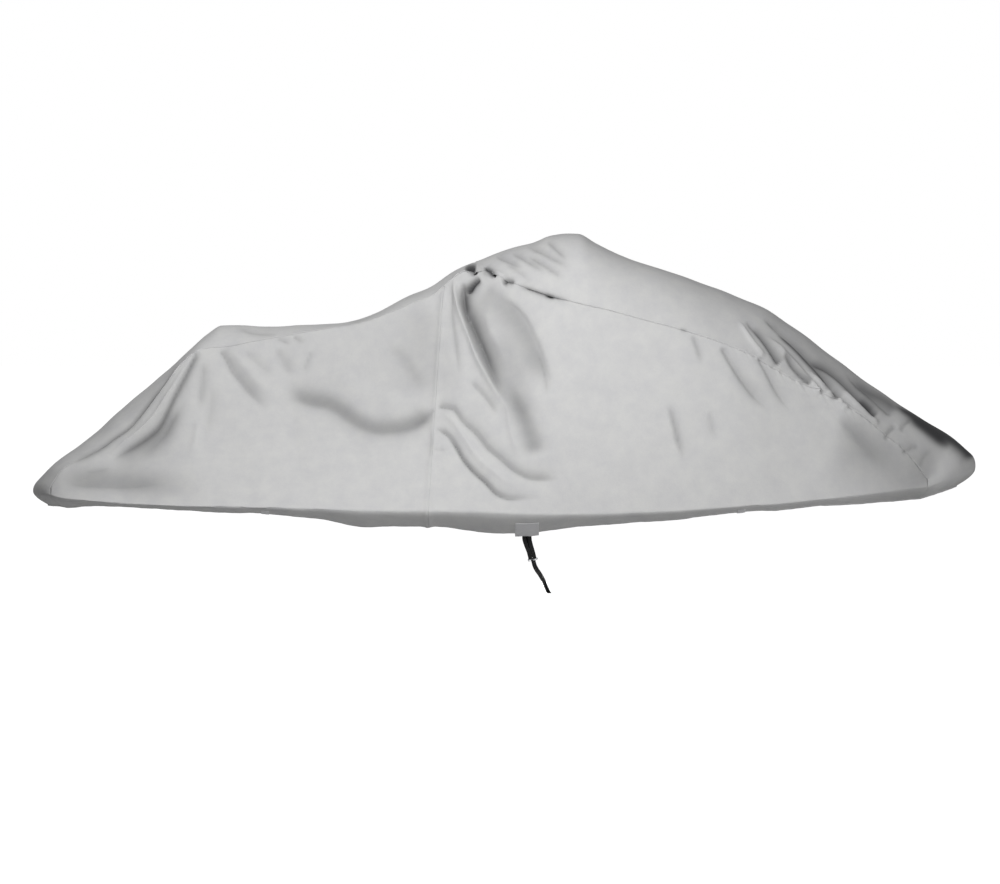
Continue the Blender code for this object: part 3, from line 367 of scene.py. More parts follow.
portShade = (
    (0.8, 8, 8, 1, 0.3, 0.3, ((-320, -95), (-300, -110), (-280, -125))),
    (0.24, 50, 60, 1, 0.2, 0.2, ((-200, -330), (-150, -450), (-120, -620))),
    (0.2, 34, 34, 1, 0.15, 0.1, ((-930, -560), (-760, -625), (-600, -670), (-440, -620))),
    (0.25, 40, 50, 1, 0.3, 0.3, ((-1260, -560), (-1380, -680), (-1500, -770))),
    (0.7, 6, 10, 1.8, 0.2, 0.05, ((700, -320), (780, -395), (870, -495))),
    (0.8, 6, 10, 1.8, 0.2, 0.05, ((800, -360), (890, -440), (980, -545))),
    (2.2, 14, 18, 1, 0.3, 0.3, noseTop),
    (3.6, 6, 16, 1, 0.2, 0.1, noseRidge),
)


# The rows of a table with their lengths in metres, each as a dictionary.
def inMetres(table, heightUnit=1000.0):
    rows = []
    for row in table:
        fold = dict(zip(foldColumns, row))
        fold["height"] /= heightUnit
        fold["startWidth"] /= 1000.0
        fold["endWidth"] /= 1000.0
        fold["path"] = np.array(fold["path"]) / 1000.0
        rows.append(fold)
    return rows


foldRows = {"starboard": inMetres(starboardFolds), "port": inMetres(portFolds)}
shadeRows = {"starboard": inMetres(starboardShade, 1.0), "port": inMetres(portShade, 1.0)}

# Slow and quick unevenness of the taut cloth: height, radians per metre along x and z, phase.
unevenness = (
    (0.0024, 5.1, 2.3, 0.4), (0.0018, 8.7, -3.9, 1.9), (0.0013, -6.4, 9.1, 4.0),
    (0.0007, 31.0, 17.0, 0.9), (0.0006, -24.0, 38.0, 2.2), (0.0004, 61.0, 22.0, 5.1),
)

creases = {
    "turn": 0.8,           # share of the width over which a fold's one side becomes the other
    "sharp": 1.15,         # power of a fold no wider than this at its start:
    "sharpWidth": 0.005,
    "softer": 0.85,        # added to it for a fold this much wider
    "softSpan": 0.012,
    "shadeDepth": 0.026,    # a trough this deep, 10 mm wide, gets two thirds of the darkest painted shade
    "shadeBase": 0.6,       # for other widths the depth is times base + perWidth * width
    "shadePerWidth": 40.0,
    "ridgeFrom": 0.03,     # folds start this far from the ridge, and are whole after the span
    "ridgeSpan": 0.09,
    "ridgeShade": 0.12,     # share of the painted shade that goes over the ridge
    "noseX": 1.0,          # a span ahead of this x all of it does
    "noseSpan": 0.1,
    "cornerSpan": 0.12,    # folds and unevenness die out this close to the corner seams
    "blend": 0.08,         # width about the ridge in which one side's folds become the other's
}

# Puckers along the shoulder seam: share of the height, wavelength and phase of each wave.
puckers = {
    "waves": ((0.50, 0.0370, 0.3), (0.42, 0.0260, 1.9), (0.30, 0.0190, 4.2)),
    "base": 0.0005, "handlebar": 0.0024, "handlebarX": -0.215, "handlebarSpan": 0.110,
    "bow": 0.0020, "bowFrom": 0.500, "bowTo": 1.060, "bowSpan": 0.16, "cornerSpan": 0.06,
    "reachTop": 0.028, "reachSide": 0.010, "slant": 0.8,
    "paintedShade": 1.5,           # a pucker gets this many times the painted shade of a fold as deep
}

# Seams: a groove along the sewn line, the raised lap beside it, and the upright seam's ridge.
seams = {
    "groove": 0.0005, "crossGroove": 0.0010, "grooveWidth": 0.0040,
    "lap": 0.0006, "lapFrom": 0.001, "lapTo": 0.0115, "lapSoft": 0.003,
    "upright": 0.0050, "uprightWidth": 0.011, "uprightGroove": 0.0003, "uprightGrooveWidth": 0.003,
    "sideFrom": 0.10, "sideSpan": 0.03,   # where its relief fades out below the shoulder seam
    "joinSpan": 0.025,     # how far down a side is drawn to meet the top's edge
}


# t * t * (3 - 2 t), with t held between 0 and 1
def smoothStep(value):
    value = np.clip(value, 0.0, 1.0)
    return value * value * (3.0 - 2.0 * value)


# exp(-(distance / width) ^ 2)
def bell(distance, width):
    return np.exp(-(distance / width) ** 2)


# A band of even height between two distances, with soft edges.
def band(distance, start, end, soft):
    return smoothStep((distance - start) / soft) * smoothStep((end - distance) / soft)


# 1 along the cover, falling to 0 over a span before each end's corner seams.
def clearOfCorners(x, span):
    return band(x, lines["sternX"], lines["bowX"], span)


# Sum of share * sin(2 pi distance / length + phase) over a table of waves.
def waveSum(waves, distance):
    return sum(share * np.sin(2.0 * math.pi * distance / length + phase)
               for share, length, phase in waves)


# A cubic through the rows that never overshoots them: between two rows it is the Hermite
# curve whose end slopes are the weighted harmonic means of the slopes on either side.
def smoothColumn(xs, ys):
    xs = np.asarray(xs, float)
    ys = np.asarray(ys, float)
    run = np.diff(xs)
    rise = np.diff(ys) / run
    slope = np.zeros_like(ys)
    slope[0] = rise[0]
    slope[-1] = rise[-1]
    sameWay = rise[:-1] * rise[1:] > 0.0
    weightA = 2.0 * run[1:] + run[:-1]
    weightB = run[1:] + 2.0 * run[:-1]
    safeA = np.where(sameWay, rise[:-1], 1.0)
    safeB = np.where(sameWay, rise[1:], 1.0)
    slope[1:-1] = np.where(sameWay, (weightA + weightB) / (weightA / safeA + weightB / safeB), 0.0)

    def value(x):
        x = np.clip(np.asarray(x, float), xs[0], xs[-1])
        i = np.clip(np.searchsorted(xs, x, side="right") - 1, 0, len(xs) - 2)
        t = (x - xs[i]) / run[i]
        keep = (1.0 + 2.0 * t) * (1.0 - t) ** 2 * ys[i] + t * t * (3.0 - 2.0 * t) * ys[i + 1]
        lean = (t * (1.0 - t) ** 2 * slope[i] - t * t * (1.0 - t) * slope[i + 1]) * run[i]
        return keep + lean

    return value


# A smooth curve through the points, read at even steps of its length.
def smoothPath(points, count):
    points = np.array(points, float)
    run = np.concatenate([[0.0], np.cumsum(np.linalg.norm(np.diff(points, axis=0), axis=1))])
    steps = np.linspace(0.0, run[-1], count)
    return np.stack([smoothColumn(run, points[:, k])(steps) for k in range(points.shape[1])], axis=-1)


def unit(vectors):
    return vectors / np.maximum(np.linalg.norm(vectors, axis=-1, keepdims=True), 1e-9)


ridgeZ = smoothColumn(*zip(*ridgeLine))
section = {
    name: smoothColumn([row[0] for row in sections], [row[k] for row in sections])
    for k, name in enumerate(sectionColumns)
    if k > 0
}


# How far the hem's roll goes in under the gunwale, and the straight length across it.
def rollTuck(drop):
    return hem["tuck"] + hem["tuckPerDrop"] * drop


def rollLength(drop):
    return np.hypot(drop, rollTuck(drop))


# The hem's roll: bulge * sin(pi t) - tuck * t ^ power outwards, and drop * t downwards.
def rolled(edge, outward, drop, share):
    out = hem["bulge"] * np.sin(math.pi * share) - rollTuck(drop) * share ** hem["power"]
    point = edge + outward * out[..., None]
    point[..., 2] -= drop * share
    return point


# Shares of the roll for each row of drops: even steps from the gunwale, then fixed
# distances from the hem's edge, where the cord and the stitching lie.
def rollShares(drop):
    near = np.array(cloth["hemSteps"])[::-1][None, :]
    near = np.minimum(near / rollLength(drop)[:, None], 0.75 * near / near[0, 0])
    first = 1.0 - near[:, :1]
    even = first * (np.arange(1, cloth["rollColumns"] + 1) / (cloth["rollColumns"] + 1.0))[None, :]
    return np.concatenate([even, 1.0 - near], axis=1)


def sideOutward(x):
    low = np.clip(x - 0.004, lines["sternX"], lines["bowX"])
    high = np.clip(x + 0.004, lines["sternX"], lines["bowX"])
    slope = (section["edgeY"](high) - section["edgeY"](low)) / (high - low)
    return unit(np.stack([-slope, np.ones_like(slope), np.zeros_like(slope)], axis=-1))


# How far a section leans about the upright seam.
def leanAt(stations):
    return lines["seamLean"] * bell(stations - lines["sideSeamX"], lines["leanSpan"])


# Shares of a length that starts with the fixed seam steps and goes on in even steps.
def seamShares(length, count):
    near = np.array(cloth["seamSteps"])[None, :]
    near = np.minimum(near / length[:, None], 0.5 * near / near[0, -1])
    even = near[:, -1:] + (1.0 - near[:, -1:]) * (np.arange(1, count + 1) / count)[None, :]
    return np.concatenate([near, even], axis=1)


# Port half's side: rows along x, columns from the shoulder seam to the hem. A section is a
# straight wall less hollow * sin(pi t) along its inward normal, and then the roll.
def sideSurface(stations):
    lean = leanAt(stations)
    topX = stations + 0.5 * lean
    wallLength = np.hypot(section["edgeY"](topX) - section["seamY"](topX),
                          section["seamZ"](topX) - section["edgeZ"](topX))
    share = seamShares(wallLength, cloth["wallColumns"])
    start = stations[:, None]
    x = start + lean[:, None] * (0.5 - share)
    across = section["edgeY"](x) - section["seamY"](x)
    down = section["seamZ"](x) - section["edgeZ"](x)
    length = np.hypot(across, down)
    inward = section["hollow"](x) * np.sin(math.pi * share)
    y = section["seamY"](x) + across * share - inward * down / length
    z = section["seamZ"](x) - down * share - inward * across / length
    wall = np.stack([x, y, z], axis=-1)
    footX = (stations - 0.5 * lean)[:, None]
    turn = rollShares(section["drop"](footX[:, 0]))
    footX = footX * np.ones_like(turn)
    edge = np.stack([footX, section["edgeY"](footX), section["edgeZ"](footX)], axis=-1)
    roll = rolled(edge, sideOutward(footX), section["drop"](footX), turn)
    return np.concatenate([wall, roll], axis=1)


def bodyOut(x):
    stern = ends["stern"]
    bow = ends["bow"]
    aft = stern["bodyOut"] * smoothStep((stern["blendFrom"] - x) / (stern["blendFrom"] - lines["sternX"]))
    fore = bow["bodyOut"] * smoothStep((x - bow["blendFrom"]) / (lines["bowX"] - bow["blendFrom"]))
    return aft + fore


# Columns across the top as v from -1 at the starboard seam to 1 at the port seam, with the
# fixed seam steps at both sides.
def topAcross(stations):
    start = stations + 0.5 * leanAt(stations)
    steep = section["round"](start) * (ridgeZ(start) - section["seamZ"](start))
    half = np.hypot(section["seamY"](start), steep)
    share = seamShares(half, cloth["topColumns"] // 2)
    return np.concatenate([share - 1.0, 1.0 - share[:, -2::-1]], axis=1)


# Body of the top: x = start + out (1 - |v| ^ power), y = seamY v, and z goes from the ridge
# to the seam with |v| ^ round.
def topSurface(stations, v):
    start = (stations + 0.5 * leanAt(stations))[:, None]
    power = np.where(start < 0.0, ends["stern"]["power"], ends["bow"]["power"])
    x = start + bodyOut(start) * (1.0 - np.abs(v) ** power)
    y = section["seamY"](start) * v
    weight = np.abs(v) ** section["round"](start)
    z = ridgeZ(x) * (1.0 - weight) + section["seamZ"](start) * weight
    return np.stack([x, y, z], axis=-1)


# Gunwale and rolled hem across the transom or the nose, from the gunwale to the hem.
def endRows(end, v):
    data = ends[end]
    edgeY = float(section["edgeY"](data["x"]))
    weight = np.abs(v) ** data["power"]
    x = data["x"] + data["out"] * (1.0 - weight)
    z = data["edgeZ"] + (float(section["edgeZ"](data["x"])) - data["edgeZ"]) * weight
    edge = np.stack([x, edgeY * v, z], axis=-1)
    drop = data["drop"] + (float(section["drop"](data["x"])) - data["drop"]) * weight
    slope = data["out"] * data["power"] * np.sign(v) * np.abs(v) ** (data["power"] - 1.0) / edgeY
    facing = math.copysign(1.0, data["out"])
    outward = unit(np.stack([facing * np.ones_like(v), facing * slope, np.zeros_like(v)], axis=-1))
    corner = sideOutward(np.array([data["x"]]))[0]
    corner = np.stack([corner[0] * np.ones_like(v), corner[1] * np.sign(v), np.zeros_like(v)], axis=-1)
    cornerShare = (np.abs(v) ** ends["cornerPower"])[:, None]
    outward = unit(outward * (1.0 - cornerShare) + corner * cornerShare)
    turns = np.concatenate([np.zeros((len(v), 1)), rollShares(drop)], axis=1).T
    return np.stack([rolled(edge.copy(), outward, drop, turn) for turn in turns])


# Rows between the body's last row and the gunwale of an end: a cubic whose ends lie along
# the body and along the roll, so that the tip is blunt, and which is straight at the seams.
def tipRows(body, roll, v):
    chord = roll[0] - body[-1]
    reach = np.linalg.norm(chord, axis=-1, keepdims=True)
    corner = (np.abs(v) ** ends["tipPower"])[:, None]
    leave = unit(body[-1] - body[-2]) * reach * (1.0 - corner) + chord * corner
    arrive = unit(roll[1] - roll[0]) * reach * (1.0 - corner) + chord * corner
    t = (np.arange(1, ends["tipRows"] + 1) / (ends["tipRows"] + 1.0))[:, None, None]
    return ((1.0 + 2.0 * t) * (1.0 - t) ** 2 * body[-1] + t * (1.0 - t) ** 2 * leave
            + t * t * (3.0 - 2.0 * t) * roll[0] - t * t * (1.0 - t) * arrive)


# Unit normals of a grid of points, from the cross product of its two gradients, turned away
# from the hollow inside.
def facingOut(points):
    normals = unit(np.cross(np.gradient(points, axis=0), np.gradient(points, axis=1)))
    core = np.array([0.0, 0.0, -0.75])
    return -normals if np.sum(normals * (points - core)) < 0.0 else normals


# Normals of every block, averaged where points of two blocks coincide on a seam, which is
# when they round to the same whole number of welds.
def sharedNormals(blocks):
    names = list(blocks)
    points = np.concatenate([blocks[name].reshape(-1, 3) for name in names])
    normals = np.concatenate([facingOut(blocks[name]).reshape(-1, 3) for name in names])
    keys = np.round(points * cloth["weldsPerMetre"]).astype(np.int64)
    _, inverse = np.unique(keys, axis=0, return_inverse=True)
    inverse = inverse.ravel()
    total = np.stack([np.bincount(inverse, weights=normals[:, k]) for k in range(3)], axis=-1)
    shared = unit(total[inverse])
    sizes = np.cumsum([0] + [blocks[name].shape[0] * blocks[name].shape[1] for name in names])
    return {name: shared[a:b].reshape(blocks[name].shape)
            for name, a, b in zip(names, sizes[:-1], sizes[1:])}


# Height of one fold: height * fade * exp(-(distance / width) ^ power), where the distance is
# to the nearest point of the smoothed path and the width grows along it. The power is near 1
# for a narrow crease, so that its bottom is sharp, and near 2 for a wide soft one.
def foldHeight(x, z, fold):
    path = smoothPath(fold["path"], 3 * len(fold["path"]))
    legs = np.diff(path, axis=0)
    lengths = np.linalg.norm(legs, axis=1)
    before = np.concatenate([[0.0], np.cumsum(lengths)[:-1]])
    nearest = np.full(x.shape, 1e9)
    along = np.zeros(x.shape)
    side = np.zeros(x.shape)
    for start, leg, length, run in zip(path[:-1], legs, lengths, before):
        dx = x - start[0]
        dz = z - start[1]
        t = np.clip((dx * leg[0] + dz * leg[1]) / length ** 2, 0.0, 1.0)
        distance = np.hypot(dx - t * leg[0], dz - t * leg[1])
        closer = distance < nearest
        nearest = np.where(closer, distance, nearest)
        along = np.where(closer, (run + t * length) / lengths.sum(), along)
        side = np.where(closer, (leg[0] * dz - leg[1] * dx) / length, side)
    width = fold["startWidth"] + (fold["endWidth"] - fold["startWidth"]) * along
    second = smoothStep(0.5 + side / (creases["turn"] * width))
    width = width * (1.0 + (fold["skew"] - 1.0) * second)
    fade = smoothStep(along / fold["fadeIn"]) * smoothStep((1.0 - along) / fold["fadeOut"])
    wide = smoothStep((fold["startWidth"] - creases["sharpWidth"]) / creases["softSpan"])
    power = creases["sharp"] + creases["softer"] * wide
    return fold["height"] * fade * np.exp(-(nearest / width) ** power)


# Height of all folds and of the unevenness, level at the origin and at the corner seams,
# and the painted shade in their troughs and in the shade patches. Folds run out towards
# the ridge, where the cloth is drawn tight; most painted shade goes over the ridge at the nose only.
def relief(points, side):
    x = points[..., 0]
    z = points[..., 2]
    height = np.zeros(x.shape)
    troughShade = np.zeros(x.shape)
    for fold in foldRows[side]:
        one = foldHeight(x, z, fold)
        height += one
        full = creases["shadeDepth"] * (creases["shadeBase"] + creases["shadePerWidth"] * fold["endWidth"])
        # Each trough adds painted shade by its depth.
        troughShade += np.maximum(-one, 0.0) / full
    for patch in shadeRows[side]:
        troughShade += foldHeight(x, z, patch)
    loose = smoothStep((np.abs(points[..., 1]) - creases["ridgeFrom"]) / creases["ridgeSpan"])
    height *= loose
    over = np.maximum(loose, smoothStep((x - creases["noseX"]) / creases["noseSpan"]))
    troughShade *= creases["ridgeShade"] + (1.0 - creases["ridgeShade"]) * over
    for size, perX, perZ, phase in unevenness:
        height += size * (np.sin(perX * x + perZ * z + phase) - math.sin(phase))
    return height * clearOfCorners(x, creases["cornerSpan"]), troughShade


# Puckers: height(x) * exp(-distance / reach) * (waves of the length along the seam).
def puckerHeight(x, along, distance, reach):
    near = bell(x - puckers["handlebarX"], puckers["handlebarSpan"])
    bow = band(x, puckers["bowFrom"], puckers["bowTo"], puckers["bowSpan"])
    size = puckers["base"] + puckers["handlebar"] * near + puckers["bow"] * bow
    wave = waveSum(puckers["waves"], along - puckers["slant"] * distance)
    return size * clearOfCorners(x, puckers["cornerSpan"]) * wave * np.exp(-distance / reach)


# Length along each row or column of a grid, from its first line.
def lengthAlong(points, axis):
    legs = np.linalg.norm(np.diff(points, axis=axis), axis=-1)
    first = np.zeros_like(np.take(legs, [0], axis=axis))
    return np.concatenate([first, np.cumsum(legs, axis=axis)], axis=axis)


# Rows along the cover: even spacing in each span, and the seam steps on both sides of the
# two cross seams.
def stationRows():
    crossSeams = (lines["sideSeamX"], lines["topSeamX"])
    steps = np.array(cloth["seamSteps"])
    rows = np.concatenate([np.linspace(low, high, int(round((high - low) / step)), endpoint=False)
                           for low, high, step in rowSpans])
    clear = np.min([np.abs(rows - seam) for seam in crossSeams], axis=0) > steps[-1] + 0.002
    near = [seam + sign * steps for seam in crossSeams for sign in (-1.0, 1.0)]
    rows = np.concatenate([rows[clear]] + near + [np.array([lines["bowX"]])])
    return np.unique(np.round(rows, 6))


mirrorY = np.array([1.0, -1.0, 1.0])
stations = stationRows()
sideRow = int(np.argmin(np.abs(stations - lines["sideSeamX"])))
topRow = int(np.argmin(np.abs(stations - lines["topSeamX"])))
across = topAcross(stations)
topBody = topSurface(stations, across)
sternRows = endRows("stern", across[0])
sternRows = np.concatenate([tipRows(topBody[1::-1], sternRows, across[0]), sternRows])[::-1]
bowRows = endRows("bow", across[-1])
bowRows = np.concatenate([tipRows(topBody[-2:], bowRows, across[-1]), bowRows])
endCount = len(bowRows)
bodyRows = slice(endCount, endCount + len(stations))
endSlices = (slice(0, endCount), slice(-endCount, None))
blocks = {"top": np.concatenate([sternRows, topBody, bowRows]),
          "port": sideSurface(stations)}
blocks["starboard"] = blocks["port"] * mirrorY
normals = sharedNormals(blocks)
print("base surface:", {name: points.shape[:2] for name, points in blocks.items()})


# The hem's finish by distance from its edge: a half-round cord, a groove at the stitching,
# and small gathers that fade out above it and towards the corner seams.
def hemRelief(distance, along, fade):
    cord = np.sqrt(np.maximum(hem["cord"] ** 2 - (distance - hem["cordAt"]) ** 2, 0.0))
    groove = -hem["groove"] * bell(distance - hem["stitchAt"], hem["grooveWidth"])
    gathers = hem["ripple"] * waveSum(hem["rippleWaves"], along) * np.exp(-distance / hem["rippleReach"])
    return cord * hem["cordShows"] + groove + gathers * fade


# A sewn line with its groove, and the lap where the upper ply lies.
def seamRelief(distance, groove, isLap):
    lap = seams["lap"] * band(distance, seams["lapFrom"], seams["lapTo"], seams["lapSoft"]) * isLap
    return lap - groove * bell(distance, seams["grooveWidth"])


# Folds and painted shade of each side's own tables, blended across the ridge.
def foldsAcross(points):
    share = smoothStep(points[..., 1] / creases["blend"] + 0.5)
    starboard = relief(points, "starboard")
    port = relief(points, "port")
    return [a * (1.0 - share) + b * share for a, b in zip(starboard, port)]


# Puckers, and the painted shade in their troughs.
def gathered(x, along, distance, reach):
    height = puckerHeight(x, along, distance, reach)
    return height, np.maximum(-height, 0.0) / creases["shadeDepth"] * puckers["paintedShade"]


# The top's two shoulder seams with their puckers, its cross seam, and the hem at both ends.
def dressTop(points, height, troughShade, seamLength):
    alongRows = lengthAlong(points, 0)
    alongColumns = lengthAlong(points, 1)
    fromSeam = np.minimum(alongColumns, alongColumns[:, -1:] - alongColumns)
    puckered, puckerShade = gathered(points[bodyRows, :, 0], seamLength, fromSeam[bodyRows], puckers["reachTop"])
    ahead = points[..., 0] - points[endCount + topRow][None, :, 0]
    height[bodyRows] += seamRelief(fromSeam, seams["groove"], 1.0)[bodyRows]
    height[bodyRows] += puckered
    height[bodyRows] += seamRelief(np.abs(ahead), seams["crossGroove"], ahead > 0.0)[bodyRows]
    troughShade[bodyRows] += puckerShade
    for rows, hemRow in zip(endSlices, (0, -1)):
        fromHem = np.abs(alongRows[rows] - alongRows[hemRow])
        fade = smoothStep(fromSeam[rows] / hem["rippleFade"])
        height[rows] += hemRelief(fromHem, alongColumns[rows], fade)


# A side's shoulder seam with its puckers, its upright seam, and its hem.
def dressSide(points, height, troughShade, seamLength):
    alongRows = lengthAlong(points, 0)
    alongColumns = lengthAlong(points, 1)
    puckered, puckerShade = gathered(points[..., 0], seamLength, alongColumns, puckers["reachSide"])
    seam = puckered - seams["groove"] * bell(alongColumns, seams["grooveWidth"])
    fromUpright = stations[:, None] - lines["sideSeamX"]
    fade = clearOfCorners(points[..., 0], hem["rippleFade"])
    height += seam * (1.0 - smoothStep((alongColumns - seams["sideFrom"]) / seams["sideSpan"]))
    height += (seams["upright"] * bell(fromUpright, seams["uprightWidth"])
               - seams["uprightGroove"] * bell(fromUpright, seams["uprightGrooveWidth"]))
    height += hemRelief(alongColumns[:, -1:] - alongColumns, alongRows[:, -1:], fade)
    troughShade += puckerShade


# Everything that stands on the smooth surface: folds, seams with their puckers, and the hem.
def dressedBlocks():
    places = {}
    shadeAmounts = {}
    seamLength = lengthAlong(blocks["port"], 0)[:, :1]
    for name, points in blocks.items():
        height, troughShade = foldsAcross(points)
        dress = dressTop if name == "top" else dressSide
        dress(points, height, troughShade, seamLength)
        places[name] = points + normals[name] * height[..., None]
        # Painted shade: how much darker each point is painted, from the depth of its troughs and the
        # shade patches.
        shadeAmounts[name] = 1.0 - np.exp(-troughShade)
    return places, shadeAmounts


dressed, shadeAmounts = dressedBlocks()
print("folds, seams and hem laid on")


# sRGB hex to linear: each channel by the sRGB curve.
def linearColor(hexText):
    channels = np.array([int(hexText[i:i + 2], 16) for i in (1, 3, 5)]) / 255.0
    linear = np.where(channels <= 0.04045, channels / 12.92, ((channels + 0.055) / 1.055) ** 2.4)
    return (*[float(c) for c in linear], 1.0)


# Sets a node's values and the links into it, both by name or index of a socket.
def setNode(owner, node, settings=None, links=None):
    for key, value in (settings or {}).items():
        if isinstance(key, int) or key in node.inputs:
            node.inputs[key].default_value = value
        else:
            setattr(node, key, value)
    for key, source in (links or {}).items():
        owner.node_tree.links.new(source, node.inputs[key])
    return node


def addNode(owner, kind, settings=None, links=None):
    return setNode(owner, owner.node_tree.nodes.new(kind), settings, links)


def newMaterial(name):
    material = bpy.data.materials.new(name)
    material.use_nodes = True
    return material, material.node_tree.nodes["Principled BSDF"]


def coordinates(material, kind):
    return addNode(material, "ShaderNodeTexCoord").outputs[kind]


def noise(material, place, scale, detail, roughness=0.5):
    settings = {"Scale": scale, "Detail": detail, "Roughness": roughness}
    return addNode(material, "ShaderNodeTexNoise", settings, {"Vector": place}).outputs["Fac"]


# Stripes across the UV map at a spacing in metres: a wave has 20 * scale radians per metre.
def stripes(material, uv, direction, spacing, more=None):
    settings = {"wave_type": "BANDS", "bands_direction": direction, **(more or {})}
    settings["Scale"] = 0.05 / spacing * 2.0 * math.pi
    return addNode(material, "ShaderNodeTexWave", settings, {"Vector": uv}).outputs["Fac"]


# The sum first * share + second.
def weighted(material, first, share, second):
    settings = {"operation": "MULTIPLY_ADD", 1: share}
    return addNode(material, "ShaderNodeMath", settings, {0: first, 2: second}).outputs[0]


def ranged(material, value, settings):
    return addNode(material, "ShaderNodeMapRange", settings, {"Value": value}).outputs[0]


def blend(material, factor, dark, light):
    settings = {"data_type": "RGBA", 6: linearColor(dark), 7: linearColor(light)}
    return addNode(material, "ShaderNodeMix", settings, {0: factor}).outputs[2]


def bump(material, distance, links):
    settings = {"Strength": 1.0, "Distance": distance}
    return addNode(material, "ShaderNodeBump", settings, links).outputs["Normal"]


# Solution-dyed polyester canvas with a thin coating: an even plain weave, so it is matt, a
# little soft at grazing angles, and faintly mottled where the coating and its soiling vary at random;
# creases and hollows are darkened with painted shade.
clothLook = {
    "color": "#CDCDCC", "shade": "#C5C5C6", "roughness": 0.86, "sheen": 0.05,
    "weave": 0.0030,       # real threads lie 0.6 mm apart, too fine to show, so drawn at 3 mm
    "weaveDepth": 0.00012,
    "mottle": 0.055, "grain": 0.0060, "grainDepth": 0.0004,
    "paintedShade": "#2C2C2F",     # painted shade: the colour that the cloth comes down to in the deepest creases
}


def coatedPolyester():
    look = clothLook
    material, shader = newMaterial("coated polyester canvas")
    place = coordinates(material, "Object")
    uv = coordinates(material, "UV")
    mottle = noise(material, place, 1.0 / look["mottle"], 4.0, 0.62)
    grain = noise(material, place, 1.0 / look["grain"], 3.0, 0.7)
    tone = ranged(material, weighted(material, grain, 0.35, mottle), {"From Min": 0.48, "From Max": 0.86})
    color = blend(material, tone, look["shade"], look["color"])
    # Painted shade: the colour is mixed towards the darkest cloth colour by a point attribute, most in
    # creases, pockets and hollows.
    paintedShadeAmount = addNode(material, "ShaderNodeAttribute", {"attribute_name": "paintedShade"}).outputs["Fac"]
    shadedColor = addNode(material, "ShaderNodeMix", {"data_type": "RGBA", 7: linearColor(look["paintedShade"])},
                     {0: paintedShadeAmount, 6: color}).outputs[2]
    warp = stripes(material, uv, "X", look["weave"])
    weft = stripes(material, uv, "Y", look["weave"])
    weave = addNode(material, "ShaderNodeMath", {"operation": "MULTIPLY"}, {0: warp, 1: weft}).outputs[0]
    fine = bump(material, look["weaveDepth"], {"Height": weave})
    rough = bump(material, look["grainDepth"], {"Height": grain, "Normal": fine})
    setNode(material, shader,
            {"Roughness": look["roughness"], "Sheen Weight": look["sheen"], "Sheen Roughness": 0.55,
             "Specular IOR Level": 0.25},
            {"Base Color": shadedColor, "Normal": rough})
    return material


# Woven narrow webbing, ribbed across by its weft: matt, with a soft highlight painted into its colour
# along each rib.
# The ribs are 1.6 mm apart; the UV map runs along the webbing in metres.
def webbing(name, dark, light, roughness, rib=0.0016):
    material, shader = newMaterial(name)
    uv = coordinates(material, "UV")
    ribs = stripes(material, uv, "X", rib, {"Distortion": 0.4, "Detail": 1.0})
    twill = stripes(material, uv, "DIAGONAL", 1.5 * rib)
    raised = bump(material, 0.0003, {"Height": weighted(material, twill, 0.5, ribs)})
    setNode(material, shader,
            {"Roughness": roughness, "Sheen Weight": 0.2, "Specular IOR Level": 0.3},
            # Painted highlight: the lighter of the two colours lies on each rib.
            {"Base Color": blend(material, ribs, dark, light), "Normal": raised})
    return material


# Zinc-plated pressed steel: bright and cool, with fine rolling lines along its length.
def platedSteel():
    material, shader = newMaterial("zinc plated steel")
    stretched = addNode(material, "ShaderNodeMapping", {"Scale": (60.0, 900.0, 900.0)},
                        {"Vector": coordinates(material, "Object")}).outputs[0]
    rolling = noise(material, stretched, 1.0, 3.0)
    setNode(material, shader, {"Metallic": 1.0},
            {"Base Color": blend(material, rolling, "#B9BCC0", "#DADCDE"),
             "Roughness": ranged(material, rolling, {"To Min": 0.28, "To Max": 0.45})})
    return material


# Polyester sewing thread, drawn thicker than its 0.4 mm so that it shows.
def sewingThread():
    material, shader = newMaterial("polyester thread")
    twist = noise(material, coordinates(material, "Object"), 900.0, 1.0)
    color = blend(material, twist, "#B4B4B6", "#D2D2D2")
    setNode(material, shader, {"Roughness": 0.6}, {"Base Color": color})
    return material


finishes = {
    "cloth": coatedPolyester(),
    "tab": webbing("grey polyester webbing", "#D6D6D8", "#E6E6E8", 0.8),
    "strap": webbing("black polyester webbing", "#0B0B0C", "#1B1B1D", 0.72),
    "metal": platedSteel(),
    "thread": sewingThread(),
}
print("materials made:", ", ".join(material.name for material in finishes.values()))


# A mesh object from whole arrays of points and equal-sized faces, with a UV per point.
def meshPiece(name, points, faces, uv, material):
    mesh = bpy.data.meshes.new(name)
    corners = faces.shape[1]
    mesh.vertices.add(len(points))
    mesh.vertices.foreach_set("co", np.ascontiguousarray(points, np.float32).ravel())
    mesh.loops.add(faces.size)
    mesh.loops.foreach_set("vertex_index", faces.ravel().astype(np.int32))
    mesh.polygons.add(len(faces))
    mesh.polygons.foreach_set("loop_start", np.arange(0, faces.size, corners, dtype=np.int32))
    mesh.polygons.foreach_set("loop_total", np.full(len(faces), corners, dtype=np.int32))
    mesh.update(calc_edges=True)
    if uv is not None:
        layer = mesh.uv_layers.new(name="metres")
        layer.data.foreach_set("uv", uv[faces.ravel()].astype(np.float32).ravel())
    mesh.materials.append(material)
    mesh.shade_smooth()
    piece = bpy.data.objects.new(name, mesh)
    bpy.context.scene.collection.objects.link(piece)
    return piece


